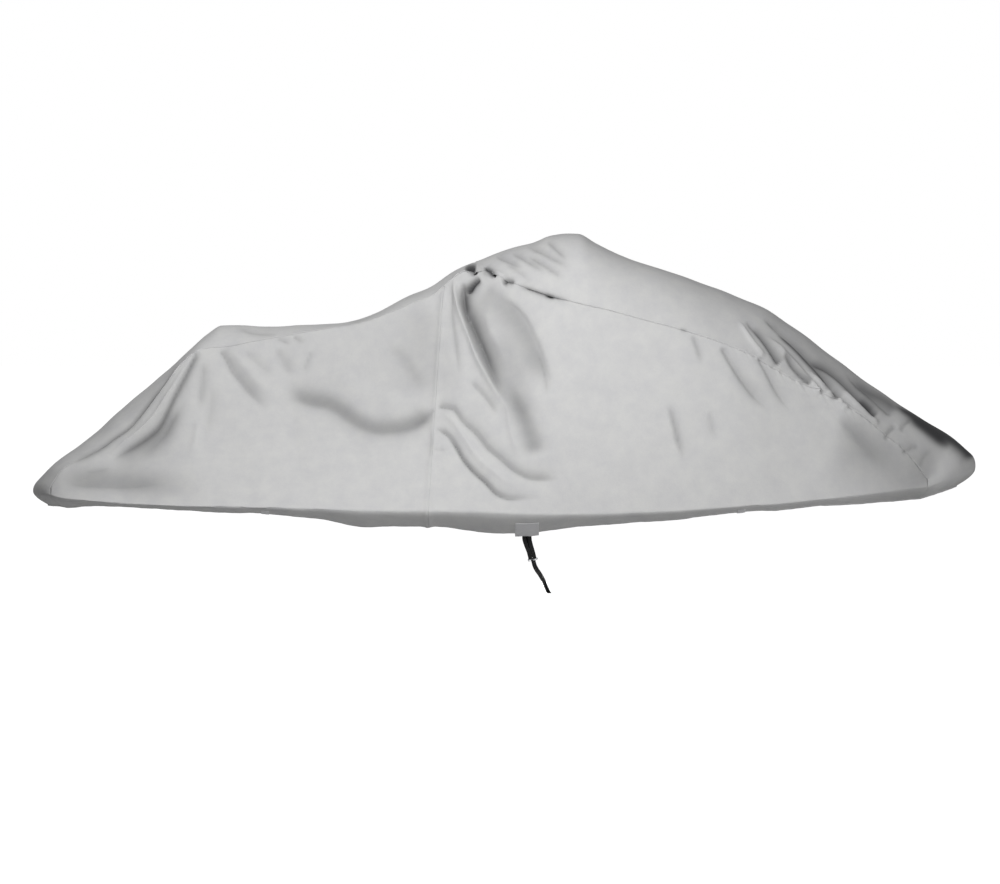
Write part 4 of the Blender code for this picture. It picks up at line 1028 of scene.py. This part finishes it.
# Quads of a grid of rows and columns, turned so that they face along the given normals.
def gridQuads(points, facing):
    rows, columns = points.shape[:2]
    corner = (np.arange(rows - 1)[:, None] * columns + np.arange(columns - 1)[None, :]).ravel()
    quads = np.stack([corner, corner + 1, corner + columns + 1, corner + columns], axis=-1)
    cross = np.cross(points[:-1, 1:] - points[:-1, :-1], points[1:, :-1] - points[:-1, :-1])
    return quads if np.sum(cross * facing[:-1, :-1]) > 0.0 else quads[:, ::-1]


# A sheet from a grid of points, with its thickness laid on by Solidify.
def sheetPiece(name, points, facing, thickness, material, offset=-1.0):
    uv = np.stack([lengthAlong(points, 0), lengthAlong(points, 1)], axis=-1).reshape(-1, 2)
    piece = meshPiece(name, points.reshape(-1, 3), gridQuads(points, facing), uv, material)
    thick = piece.modifiers.new("thickness", "SOLIDIFY")
    thick.thickness = thickness
    thick.offset = offset
    thick.use_rim = True
    return piece


# One panel of cloth from a grid of seven values a point: place, outward normal and painted shade.
def clothPiece(name, grid):
    piece = sheetPiece(name, grid[..., :3], grid[..., 3:6], cloth["thickness"], finishes["cloth"])
    paintedShade = piece.data.attributes.new("paintedShade", "FLOAT", "POINT")
    paintedShade.data.foreach_set("value", grid[..., 6].astype(np.float32).ravel())
    return piece


# Lines of a grid pushed under their neighbour: down by the cloth and the gap of a lap.
def lowered(grid, share=1.0):
    down = np.zeros_like(grid)
    down[..., :3] = grid[..., 3:6] * (cloth["thickness"] + cloth["lap"]) * share
    return grid - down


# The side's edge is carried onto the top's edge, and the difference fades out below it.
def joinEdges():
    for side, column in (("starboard", 0), ("port", -1)):
        apart = dressed["top"][bodyRows, column] - dressed[side][:, 0]
        fade = bell(lengthAlong(blocks[side], 1), seams["joinSpan"])
        dressed[side] = dressed[side] + apart[:, None, :] * fade[..., None]


joinEdges()
dressedNormals = sharedNormals(dressed)
layered = {name: np.concatenate([dressed[name], dressedNormals[name], shadeAmounts[name][..., None]], axis=-1)
           for name in dressed}


# Two parts of a grid on either side of a seam's row, the first running on under the second.
def lapped(grid, row):
    last = row + 1 + cloth["allowanceSteps"]
    first = np.concatenate([grid[:row], lowered(grid[row:row + 1], 0.5), lowered(grid[row + 1:last])])
    return first, grid[row + 1:]


# Top panels: the hood laps over the seat panel, and both lap over the sides.
def topPanels():
    grid = layered["top"].copy()
    for rows in endSlices:
        grid[rows, 1] = grid[rows, 0] * 0.75 + grid[rows, 1] * 0.25
        grid[rows, -2] = grid[rows, -1] * 0.75 + grid[rows, -2] * 0.25
    seat, hood = lapped(grid[:, 1:-1], endCount + topRow)
    return {"seat_panel": clothPiece("seat_cloth", seat), "hood_panel": clothPiece("hood_cloth", hood)}


# Side panels: their top edge runs on under the top panels, and the rear panel's front edge
# runs on under the front panel.
def sidePanels(side):
    top = layered["top"][bodyRows]
    if side == "port":
        top = top[:, ::-1]
    own = layered[side]
    under = lowered(top[:, cloth["allowanceSteps"]:0:-1])
    grid = np.concatenate([under, lowered(own[:, :1], 0.5), own[:, 1:]], axis=1)
    rear, front = lapped(grid, sideRow)
    return {"side_rear_" + side: clothPiece("side_rear_cloth_" + side, rear),
            "side_front_" + side: clothPiece("side_front_cloth_" + side, front)}


panels = topPanels()
for side in ("starboard", "port"):
    panels.update(sidePanels(side))
for node, piece in panels.items():
    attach(piece, "root")
    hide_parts(node)
print("panels made:", ", ".join(piece.name for piece in panels.values()))

stitches = {
    "pitch": 0.0046, "length": 0.0034, "radius": 0.00042, "sink": 0.0001,
    "shoulder": 0.45,      # share of its half length at which a stitch is thickest
    "ahead": 0.0005,       # how far ahead a path is read for its direction
    "seamSteps": (2, 4),   # the seam steps, 3.5 and 9.5 mm, that a seam's two rows follow
}


# A table of points read at places along its length.
def readAt(places, run, table):
    return np.stack([np.interp(places, run, table[:, k]) for k in range(3)], axis=-1)


# Lockstitches along a path: even steps of its length, each a slim body of two four-sided
# rings between two tips, half sunk in the cloth.
def stitchRow(path, facing):
    run = lengthAlong(path[:, None], 0)[:, 0]
    count = int(run[-1] / stitches["pitch"])
    steps = (np.arange(count) + 0.5) * stitches["pitch"]
    middle = readAt(steps, run, path)
    tangent = unit(readAt(steps + stitches["ahead"], run, path) - middle)
    up = unit(readAt(steps, run, facing))
    sideways = unit(np.cross(up, tangent))
    middle = middle - up * stitches["sink"]
    half = stitches["length"] / 2.0
    angles = np.arange(4) * math.pi / 2.0
    rings = [middle - tangent * half - up * stitches["radius"]]
    for place in (-stitches["shoulder"], stitches["shoulder"]):
        for angle in angles:
            reach = up * math.cos(angle) + sideways * math.sin(angle)
            rings.append(middle + tangent * half * place + reach * stitches["radius"])
    rings.append(middle + tangent * half - up * stitches["radius"])
    return np.stack(rings, axis=1)


# Triangles of one stitch, by the order in which stitchRow lists its ten points.
def stitchFaces(count):
    ring = np.arange(4)
    after = (ring + 1) % 4
    start = np.stack([np.zeros(4, int), 1 + after, 1 + ring], axis=-1)
    end = np.stack([np.full(4, 9), 5 + ring, 5 + after], axis=-1)
    low = np.stack([1 + ring, 1 + after, 5 + after], axis=-1)
    high = np.stack([1 + ring, 5 + after, 5 + ring], axis=-1)
    one = np.concatenate([start, end, low, high])
    return (one[None] + 10 * np.arange(count)[:, None, None]).reshape(-1, 3)


def stitching(name, rows):
    points = np.concatenate([stitchRow(path, facing) for path, facing in rows])
    piece = meshPiece(name, points.reshape(-1, 3), stitchFaces(len(points)), None, finishes["thread"])
    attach(piece, "root")
    return piece


# A line of a dressed block, with the way that it faces.
def sewnLine(block, rows, columns):
    return dressed[block][rows, columns], dressedNormals[block][rows, columns]


# Two rows of stitches along each lapped seam, and one along the hem. They stop a few lines
# of the mesh short of the seams that they meet.
def allStitching():
    steps = stitches["seamSteps"]
    fromHem = cloth["hemSteps"].index(hem["stitchAt"])
    row = endCount + topRow
    seat = []
    hood = []
    for column in steps + tuple(-1 - step for step in steps):
        seat.append(sewnLine("top", slice(endCount, row), column))
        hood.append(sewnLine("top", slice(row + 2, bodyRows.stop), column))
    hood += [sewnLine("top", row + step, slice(5, -5)) for step in steps]
    seat.append(sewnLine("top", fromHem, slice(3, -3)))
    hood.append(sewnLine("top", -1 - fromHem, slice(3, -3)))
    made = {"seat_panel": seat, "hood_panel": hood}
    for side in ("starboard", "port"):
        made["side_rear_" + side] = [sewnLine(side, slice(2, sideRow), -1 - fromHem)]
        front = [sewnLine(side, slice(sideRow + 2, -2), -1 - fromHem)]
        front += [sewnLine(side, sideRow + step, slice(3, -4)) for step in steps]
        made["side_front_" + side] = front
    return {node: stitching(panels[node].name.replace("cloth", "stitching"), rows)
            for node, rows in made.items()}


threads = allStitching()
print("stitching made:", sum(len(piece.data.polygons) for piece in threads.values()), "faces")

# Hem tabs of folded webbing: name, x of the middle, width, and whether one reaches over the
# strap's end. Each covers a share of the roll and stands just off the cloth.
tabs = {
    "pieces": (("aft", -0.981, 0.026, False), ("strap", lines["strapX"], 0.078, True),
               ("fore", 0.574, 0.026, False)),
    "share": 0.62, "lift": 0.0006, "webbing": 0.0014,
    "hemGap": 0.0007,      # from the hem's edge to the tab's
    "patchDrop": 0.010,    # how far the strap's tab goes on below the hem
    "patchSteps": (0.3, 0.65, 1.0),
    "rows": 14, "columns": 14, "edge": 0.0004,
}

# The strap goes under the hull by one half, from the slider, and then by its mirror image.
strap = {
    "width": 0.0125, "thickness": 0.0015, "edge": 0.0005, "cup": 0.0002,
    "legSpread": 0.0185, "footSpread": 0.0138, "drop": 0.0030,
    "slider": (-0.106, -0.5020, -1.0640), "sliderTop": (-0.125, -0.520, -0.985),
    "barGap": 0.0042,      # from the slider's middle bar to each outer bar
    "ringHalfWidth": 0.0150, "wire": 0.0013, "tail": 0.020,
    "ringPowers": (0.25, 0.45),   # of the ring's cosine and sine: lower is squarer
    "barInset": 0.0002, "barShare": 0.9,
    "anchorSpan": 0.030,   # how far above the hem its direction is read
    "clear": 0.0001,       # between the webbing and the wire
    "fold": 0.004,         # from a bar to where the webbing lies flat again
    "shin": 0.010,         # length of a leg that lies along the slider
    "knee": 1.3,           # share of the tab's drop after which the strap bends
    "half": (
        (-0.0980, -0.4850, -1.0920), (-0.0820, -0.4280, -1.1180), (-0.0700, -0.3300, -1.1390),
        (-0.0600, -0.1900, -1.1620), (-0.0520, -0.0600, -1.1780),
    ),
    "keel": (-0.0490, 0.0000, -1.1800), "portEnd": (-0.1060, 0.5020, -1.0600),
    "rows": 200, "legRows": 40, "columns": 7,
}


# Points between a grid's own, straight along its lines.
def sampleGrid(grid, rows, columns):
    i = np.clip(rows.astype(int), 0, grid.shape[0] - 2)
    j = np.clip(columns.astype(int), 0, grid.shape[1] - 2)
    s = (rows - i)[:, None, None]
    t = (columns - j)[None, :, None]
    near = grid[i][:, j] * (1.0 - t) + grid[i][:, j + 1] * t
    far = grid[i + 1][:, j] * (1.0 - t) + grid[i + 1][:, j + 1] * t
    return near * (1.0 - s) + far * s


# Columns of a side's grid at the given distances above its hem, near one row.
def columnsAbove(side, row, distances):
    length = lengthAlong(dressed[side], 1)[int(row)]
    above = length[-1] - length
    return np.interp(-np.asarray(distances), -above, np.arange(len(above)))


def roundEdges(piece, width):
    rounded = piece.modifiers.new("edges", "BEVEL")
    rounded.width = width
    rounded.segments = 2
    rounded.limit_method = "ANGLE"


def hemTab(name, middle, width, overStrap, side):
    points = dressed[side]
    facing = dressedNormals[side]
    feet = points[:, -1, 0]
    rows = np.interp(np.linspace(middle - width / 2.0, middle + width / 2.0, tabs["rows"]),
                     feet, np.arange(len(feet)))
    reach = rollLength(float(section["drop"](middle))) * tabs["share"]
    columns = columnsAbove(side, rows[0], np.linspace(reach, tabs["hemGap"], tabs["columns"]))
    grid = sampleGrid(points, rows, columns)
    out = unit(sampleGrid(facing, rows, columns))
    outer = grid + out * (tabs["lift"] + tabs["webbing"])
    if overStrap:
        onward = unit(unit(outer[:, -1] - outer[:, -3]) + np.array([0.0, 0.0, -1.0]))
        drops = [onward * tabs["patchDrop"] * step for step in tabs["patchSteps"]]
        more = [outer[:, -1:] + drop[:, None] for drop in drops]
        outer = np.concatenate([outer] + more, axis=1)
        out = np.concatenate([out] + [out[:, -1:]] * len(more), axis=1)
    node = "hem_tab_" + name + "_" + side
    piece = sheetPiece("tab_" + name + "_" + side, outer, out, tabs["webbing"], finishes["tab"])
    roundEdges(piece, tabs["edge"])
    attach(piece, "root")
    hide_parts(node)
    inner = slice(1, -1)
    edges = [(outer[edge], out[edge]) for edge in ((1, inner), (-2, inner), (inner, 1), (inner, -2))]
    return piece, stitching("tab_stitching_" + name + "_" + side, edges)


tabPieces = {}
for side in ("starboard", "port"):
    for name, middle, width, overStrap in tabs["pieces"]:
        tabPieces[name, side] = hemTab(name, middle, width, overStrap, side)
print("hem tabs made:", len(tabPieces))


# Flat webbing along a path, whose woven edges cup a little.
def ribbon(name, path, material, sideHint):
    tangent = unit(np.gradient(path, axis=0))
    face = unit(np.cross(tangent, np.array(sideHint)))
    sideways = unit(np.cross(face, tangent))
    place = np.linspace(-1.0, 1.0, strap["columns"])[None, :, None]
    cup = strap["cup"] * place ** 2
    grid = path[:, None] + sideways[:, None] * place * strap["width"] / 2.0 + face[:, None] * cup
    facing = np.repeat(face[:, None], strap["columns"], axis=1)
    piece = sheetPiece(name, grid, facing, strap["thickness"], material, offset=0.0)
    roundEdges(piece, strap["edge"])
    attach(piece, "root")
    return piece


# A point just below the hem at x, in line with the cloth's inner face, and the way on from it.
def hemAnchor(side, x):
    points = dressed[side]
    row = np.array([np.interp(x, points[:, -1, 0], np.arange(len(points)))])
    last = np.array([points.shape[1] - 1.0])
    foot = sampleGrid(points, row, last)[0, 0]
    above = sampleGrid(points, row, columnsAbove(side, row[0], [strap["anchorSpan"]]))[0, 0]
    facing = unit(sampleGrid(dressedNormals[side], row, last)[0, 0])
    onward = unit(unit(foot - above) + np.array([0.0, 0.0, -1.0]))
    return foot - facing * cloth["thickness"] + onward * strap["drop"], onward


# The slider's long way, the way through it and the way down the strap.
def sliderFrame():
    down = unit(np.array(strap["half"][0]) - np.array(strap["sliderTop"]))
    through = unit(np.cross(down, np.array([1.0, 0.0, 0.0])))
    return unit(np.cross(through, down)), through, down


# A half turn round a bar: radius * (cos, sin) from the front to the back.
def halfTurn(centre, through, toward, radius, steps=9):
    angles = np.linspace(0.0, math.pi, steps)[:, None]
    return centre + radius * (np.cos(angles) * through + np.sin(angles) * toward)


# A round wire along a path: rings of points about it, closed into a loop or open at its ends.
def wireMesh(path, radius, closed, ring=12):
    if closed:
        tangent = unit(np.roll(path, -1, axis=0) - np.roll(path, 1, axis=0))
    else:
        tangent = unit(np.gradient(path, axis=0))
    _, through, _ = sliderFrame()
    side = unit(np.cross(tangent, through))
    angles = np.arange(ring) * 2.0 * math.pi / ring
    points = path[:, None] + radius * (np.cos(angles)[None, :, None] * through
                                       + np.sin(angles)[None, :, None] * side[:, None])
    rows = len(path) if closed else len(path) - 1
    i = np.arange(rows)[:, None]
    j = np.arange(ring)[None, :]
    after = (i + 1) % len(path)
    quads = np.stack([i * ring + j, i * ring + (j + 1) % ring, after * ring + (j + 1) % ring,
                      after * ring + j], axis=-1).reshape(-1, 4)
    return points.reshape(-1, 3), quads


# Signed volume of a mesh of quads: the sum of middle . (diagonal x diagonal) / 6, which is
# below zero when the mesh is inside out.
def meshVolume(mesh):
    points = np.empty(len(mesh.vertices) * 3)
    mesh.vertices.foreach_get("co", points)
    corners = np.empty(len(mesh.loops), np.int32)
    mesh.loops.foreach_get("vertex_index", corners)
    quads = points.reshape(-1, 3)[corners.reshape(-1, 4)]
    middle = quads.mean(axis=1)
    area = np.cross(quads[:, 2] - quads[:, 0], quads[:, 3] - quads[:, 1])
    return float(np.sum(area * middle)) / 6.0


# The slider: a wire ring, drawn as a rounded rectangle, with a bar across its middle.
def sliderPiece():
    along, _, down = sliderFrame()
    centre = np.array(strap["slider"])
    angles = np.linspace(0.0, 2.0 * math.pi, 72, endpoint=False)
    powers = strap["ringPowers"]
    cosine = np.sign(np.cos(angles)) * np.abs(np.cos(angles)) ** powers[0]
    sine = np.sign(np.sin(angles)) * np.abs(np.sin(angles)) ** powers[1]
    loop = centre + along * (cosine * strap["ringHalfWidth"])[:, None]
    loop = loop + down * (sine * strap["barGap"])[:, None]
    ringPoints, ringQuads = wireMesh(loop, strap["wire"], True)
    halfBar = strap["ringHalfWidth"] - strap["barInset"]
    bar = centre + along * np.linspace(-1.0, 1.0, 12)[:, None] * halfBar
    barPoints, barQuads = wireMesh(bar, strap["wire"] * strap["barShare"], False)
    points = np.concatenate([ringPoints, barPoints])
    quads = np.concatenate([ringQuads, barQuads + len(ringPoints)])
    piece = meshPiece("slider_wire", points, quads, None, finishes["metal"])
    if meshVolume(piece.data) < 0.0:
        piece.data.flip_normals()
    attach(piece, "root")
    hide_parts("strap_slider")
    return piece


# A turn round a bar and the end that is doubled back from it, in the order of the leg.
def doubledEnd(bar, through, down, radius):
    turn = halfTurn(bar, -through, down, radius)
    back = turn[-1] - down * np.array([[strap["fold"]], [strap["tail"] * 0.5], [strap["tail"]]])
    return np.concatenate([turn, back])


# Paths of the two legs and of the strap under the hull, by node.
def strapPaths():
    along, through, down = sliderFrame()
    slider = np.array(strap["slider"])
    radius = strap["wire"] + strap["thickness"] / 2.0 + strap["clear"]
    paths = {}
    for name, sign in (("aft", -1.0), ("fore", 1.0)):
        top, onward = hemAnchor("starboard", lines["strapX"] + sign * strap["legSpread"] / 2.0)
        bar = slider - down * strap["barGap"] + along * sign * strap["footSpread"] / 2.0
        front = bar - down * strap["fold"] - through * radius
        knee = top + onward * tabs["patchDrop"] * strap["knee"]
        leg = smoothPath((top, knee, front - down * strap["shin"], front), strap["legRows"])
        path = np.concatenate([leg, doubledEnd(bar, through, down, radius)])
        paths["strap_leg_" + name] = smoothPath(path, strap["legRows"] * 2)
    end, onward = hemAnchor("port", lines["strapX"])
    knee = end + onward * tabs["patchDrop"] * strap["knee"]
    bar = slider + down * strap["barGap"]
    front = bar + down * strap["fold"] - through * radius
    half = np.array(strap["half"])
    run = [half, [strap["keel"]], half[::-1] * mirrorY, [strap["portEnd"], knee, end]]
    path = np.concatenate([doubledEnd(bar, through, -down, radius)[::-1], front[None]] + run)
    paths["belly_strap"] = smoothPath(path, strap["rows"])
    return paths


def strapPieces(paths):
    along = sliderFrame()[0]
    made = {}
    for node, path in paths.items():
        isLeg = node.startswith("strap_leg")
        name = node.replace("strap_leg", "leg_webbing") if isLeg else "belly_webbing"
        made[node] = ribbon(name, path, finishes["strap"], along if isLeg else (1.0, 0.0, 0.0))
        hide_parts(node)
    return made


strapRuns = strapPaths()
straps = strapPieces(strapRuns)
slider = sliderPiece()
print("strap made:", ", ".join(piece.name for piece in straps.values()), slider.name)

# The cut of each sheet before it was sewn and hung: width, length and area, in metres.
cuts = {
    "seat_panel": (0.88, 1.78, 0.87), "hood_panel": (0.86, 1.86, 1.47),
    "side_rear_starboard": (0.86, 1.29, 0.85), "side_rear_port": (0.86, 1.29, 0.85),
    "side_front_starboard": (0.95, 1.66, 1.10), "side_front_port": (0.95, 1.66, 1.10),
}
for node, piece in panels.items():
    width, length, area = cuts[node]
tabWidths = {name: width for name, _, width, _ in tabs["pieces"]}
for (name, side), (piece, sewing) in tabPieces.items():
    width = tabWidths[name]
    height = float(rollLength(section["drop"](piece.data.vertices[0].co[0]))) * tabs["share"]
    height += tabs["patchDrop"] if name == "strap" else 0.0
for node, piece in straps.items():
    length = float(lengthAlong(strapRuns[node][:, None], 0)[-1, 0])


# One shader for what the camera sees and another for what lights the piece.
def seenAs(owner, lit, seen, output):
    path = addNode(owner, "ShaderNodeLightPath")
    mix = addNode(owner, "ShaderNodeMixShader", None,
                  {0: path.outputs["Is Camera Ray"], 1: lit.outputs[0], 2: seen.outputs[0]})
    setNode(owner, owner.node_tree.nodes[output], None, {"Surface": mix.outputs[0]})


# A plain pale floor just under the strap, which also reads as the far background.
def paleFloor(level, half=300.0):
    mesh = bpy.data.meshes.new("floor")
    corners = ((-half, -half, level), (half, -half, level), (half, half, level), (-half, half, level))
    mesh.from_pydata(corners, [], [(0, 1, 2, 3)])
    floor = bpy.data.objects.new("floor", mesh)
    bpy.context.scene.collection.objects.link(floor)
    material, shader = newMaterial("matt white floor paint")
    setNode(material, shader,
            {"Base Color": linearColor("#C0C0C0"), "Roughness": 0.9, "Specular IOR Level": 0.1})
    away = addNode(material, "ShaderNodeVectorMath", {"operation": "LENGTH"},
                   {0: coordinates(material, "Object")}).outputs["Value"]
    strength = ranged(material, away, {"From Min": 2.2, "From Max": 4.0, "To Min": 0.92, "To Max": 1.0})
    glow = addNode(material, "ShaderNodeEmission", None, {"Strength": strength})
    both = addNode(material, "ShaderNodeAddShader", None, {0: shader.outputs[0], 1: glow.outputs[0]})
    seenAs(material, shader, both, "Material Output")
    mesh.materials.append(material)


# Even white behind everything, and a weak even light from all round.
def studioWorld(strength):
    world = bpy.data.worlds.new("studio")
    world.use_nodes = True
    white = (1.0, 1.0, 1.0, 1.0)
    dim = setNode(world, world.node_tree.nodes["Background"], {"Color": white, "Strength": strength})
    plain = addNode(world, "ShaderNodeBackground", {"Color": white, "Strength": 1.0})
    seenAs(world, dim, plain, "World Output")
    bpy.context.scene.world = world


# A soft white light at a place, turned to face a point.
def softLight(name, place, target, size, power):
    data = bpy.data.lights.new(name, "AREA")
    data.shape = "RECTANGLE"
    data.size, data.size_y = size
    data.energy = power
    light = bpy.data.objects.new(name, data)
    bpy.context.scene.collection.objects.link(light)
    light.location = place
    direction = Vector(target) - Vector(place)
    light.rotation_euler = direction.to_track_quat("-Z", "Y").to_euler()


studio = {
    "world": 0.12,
    "floorGap": 0.006,     # from the strap down to the floor
    "lights": {            # place, target, size and power
        "key": ((-0.38, -2.75, 1.25), (-0.30, -0.4, -0.45), (1.1, 0.9), 77.0),
        "back": ((-0.20, 4.40, -0.45), (-0.20, 0.4, -0.55), (2.0, 1.0), 90.0),
        "top": ((-2.30, 0.30, 1.60), (-1.35, 0.0, -0.45), (0.9, 0.9), 13.0),
        "bow": ((2.70, -1.70, -0.75), (1.10, -0.15, -0.85), (0.7, 0.5), 11.5),
    },
}
paleFloor(cadBox[0][2] - studio["floorGap"])
studioWorld(studio["world"])
for name, light in studio["lights"].items():
    softLight(name, *light)
bpy.context.scene.view_settings.view_transform = "Standard"
print("floor, world and lights made")

view = {
    "distance": 90.0, "elevation": 0.3, "target": (-0.213, -0.25, -0.682), "width": 3.28,
    "sensor": 36.0, "clipStart": 0.5, "clipEnd": 600.0,
}
cameraData = bpy.data.cameras.new("side view")
cameraData.sensor_width = view["sensor"]
cameraData.lens = view["sensor"] * view["distance"] / view["width"]
cameraData.clip_start = view["clipStart"]
cameraData.clip_end = view["clipEnd"]
camera = bpy.data.objects.new("side view", cameraData)
bpy.context.scene.collection.objects.link(camera)
rise = math.radians(view["elevation"])
target = Vector(view["target"])
away = Vector((0.0, -math.cos(rise), math.sin(rise)))
camera.location = target + away * view["distance"]
camera.rotation_euler = (-away).to_track_quat("-Z", "Y").to_euler()
bpy.context.scene.camera = camera
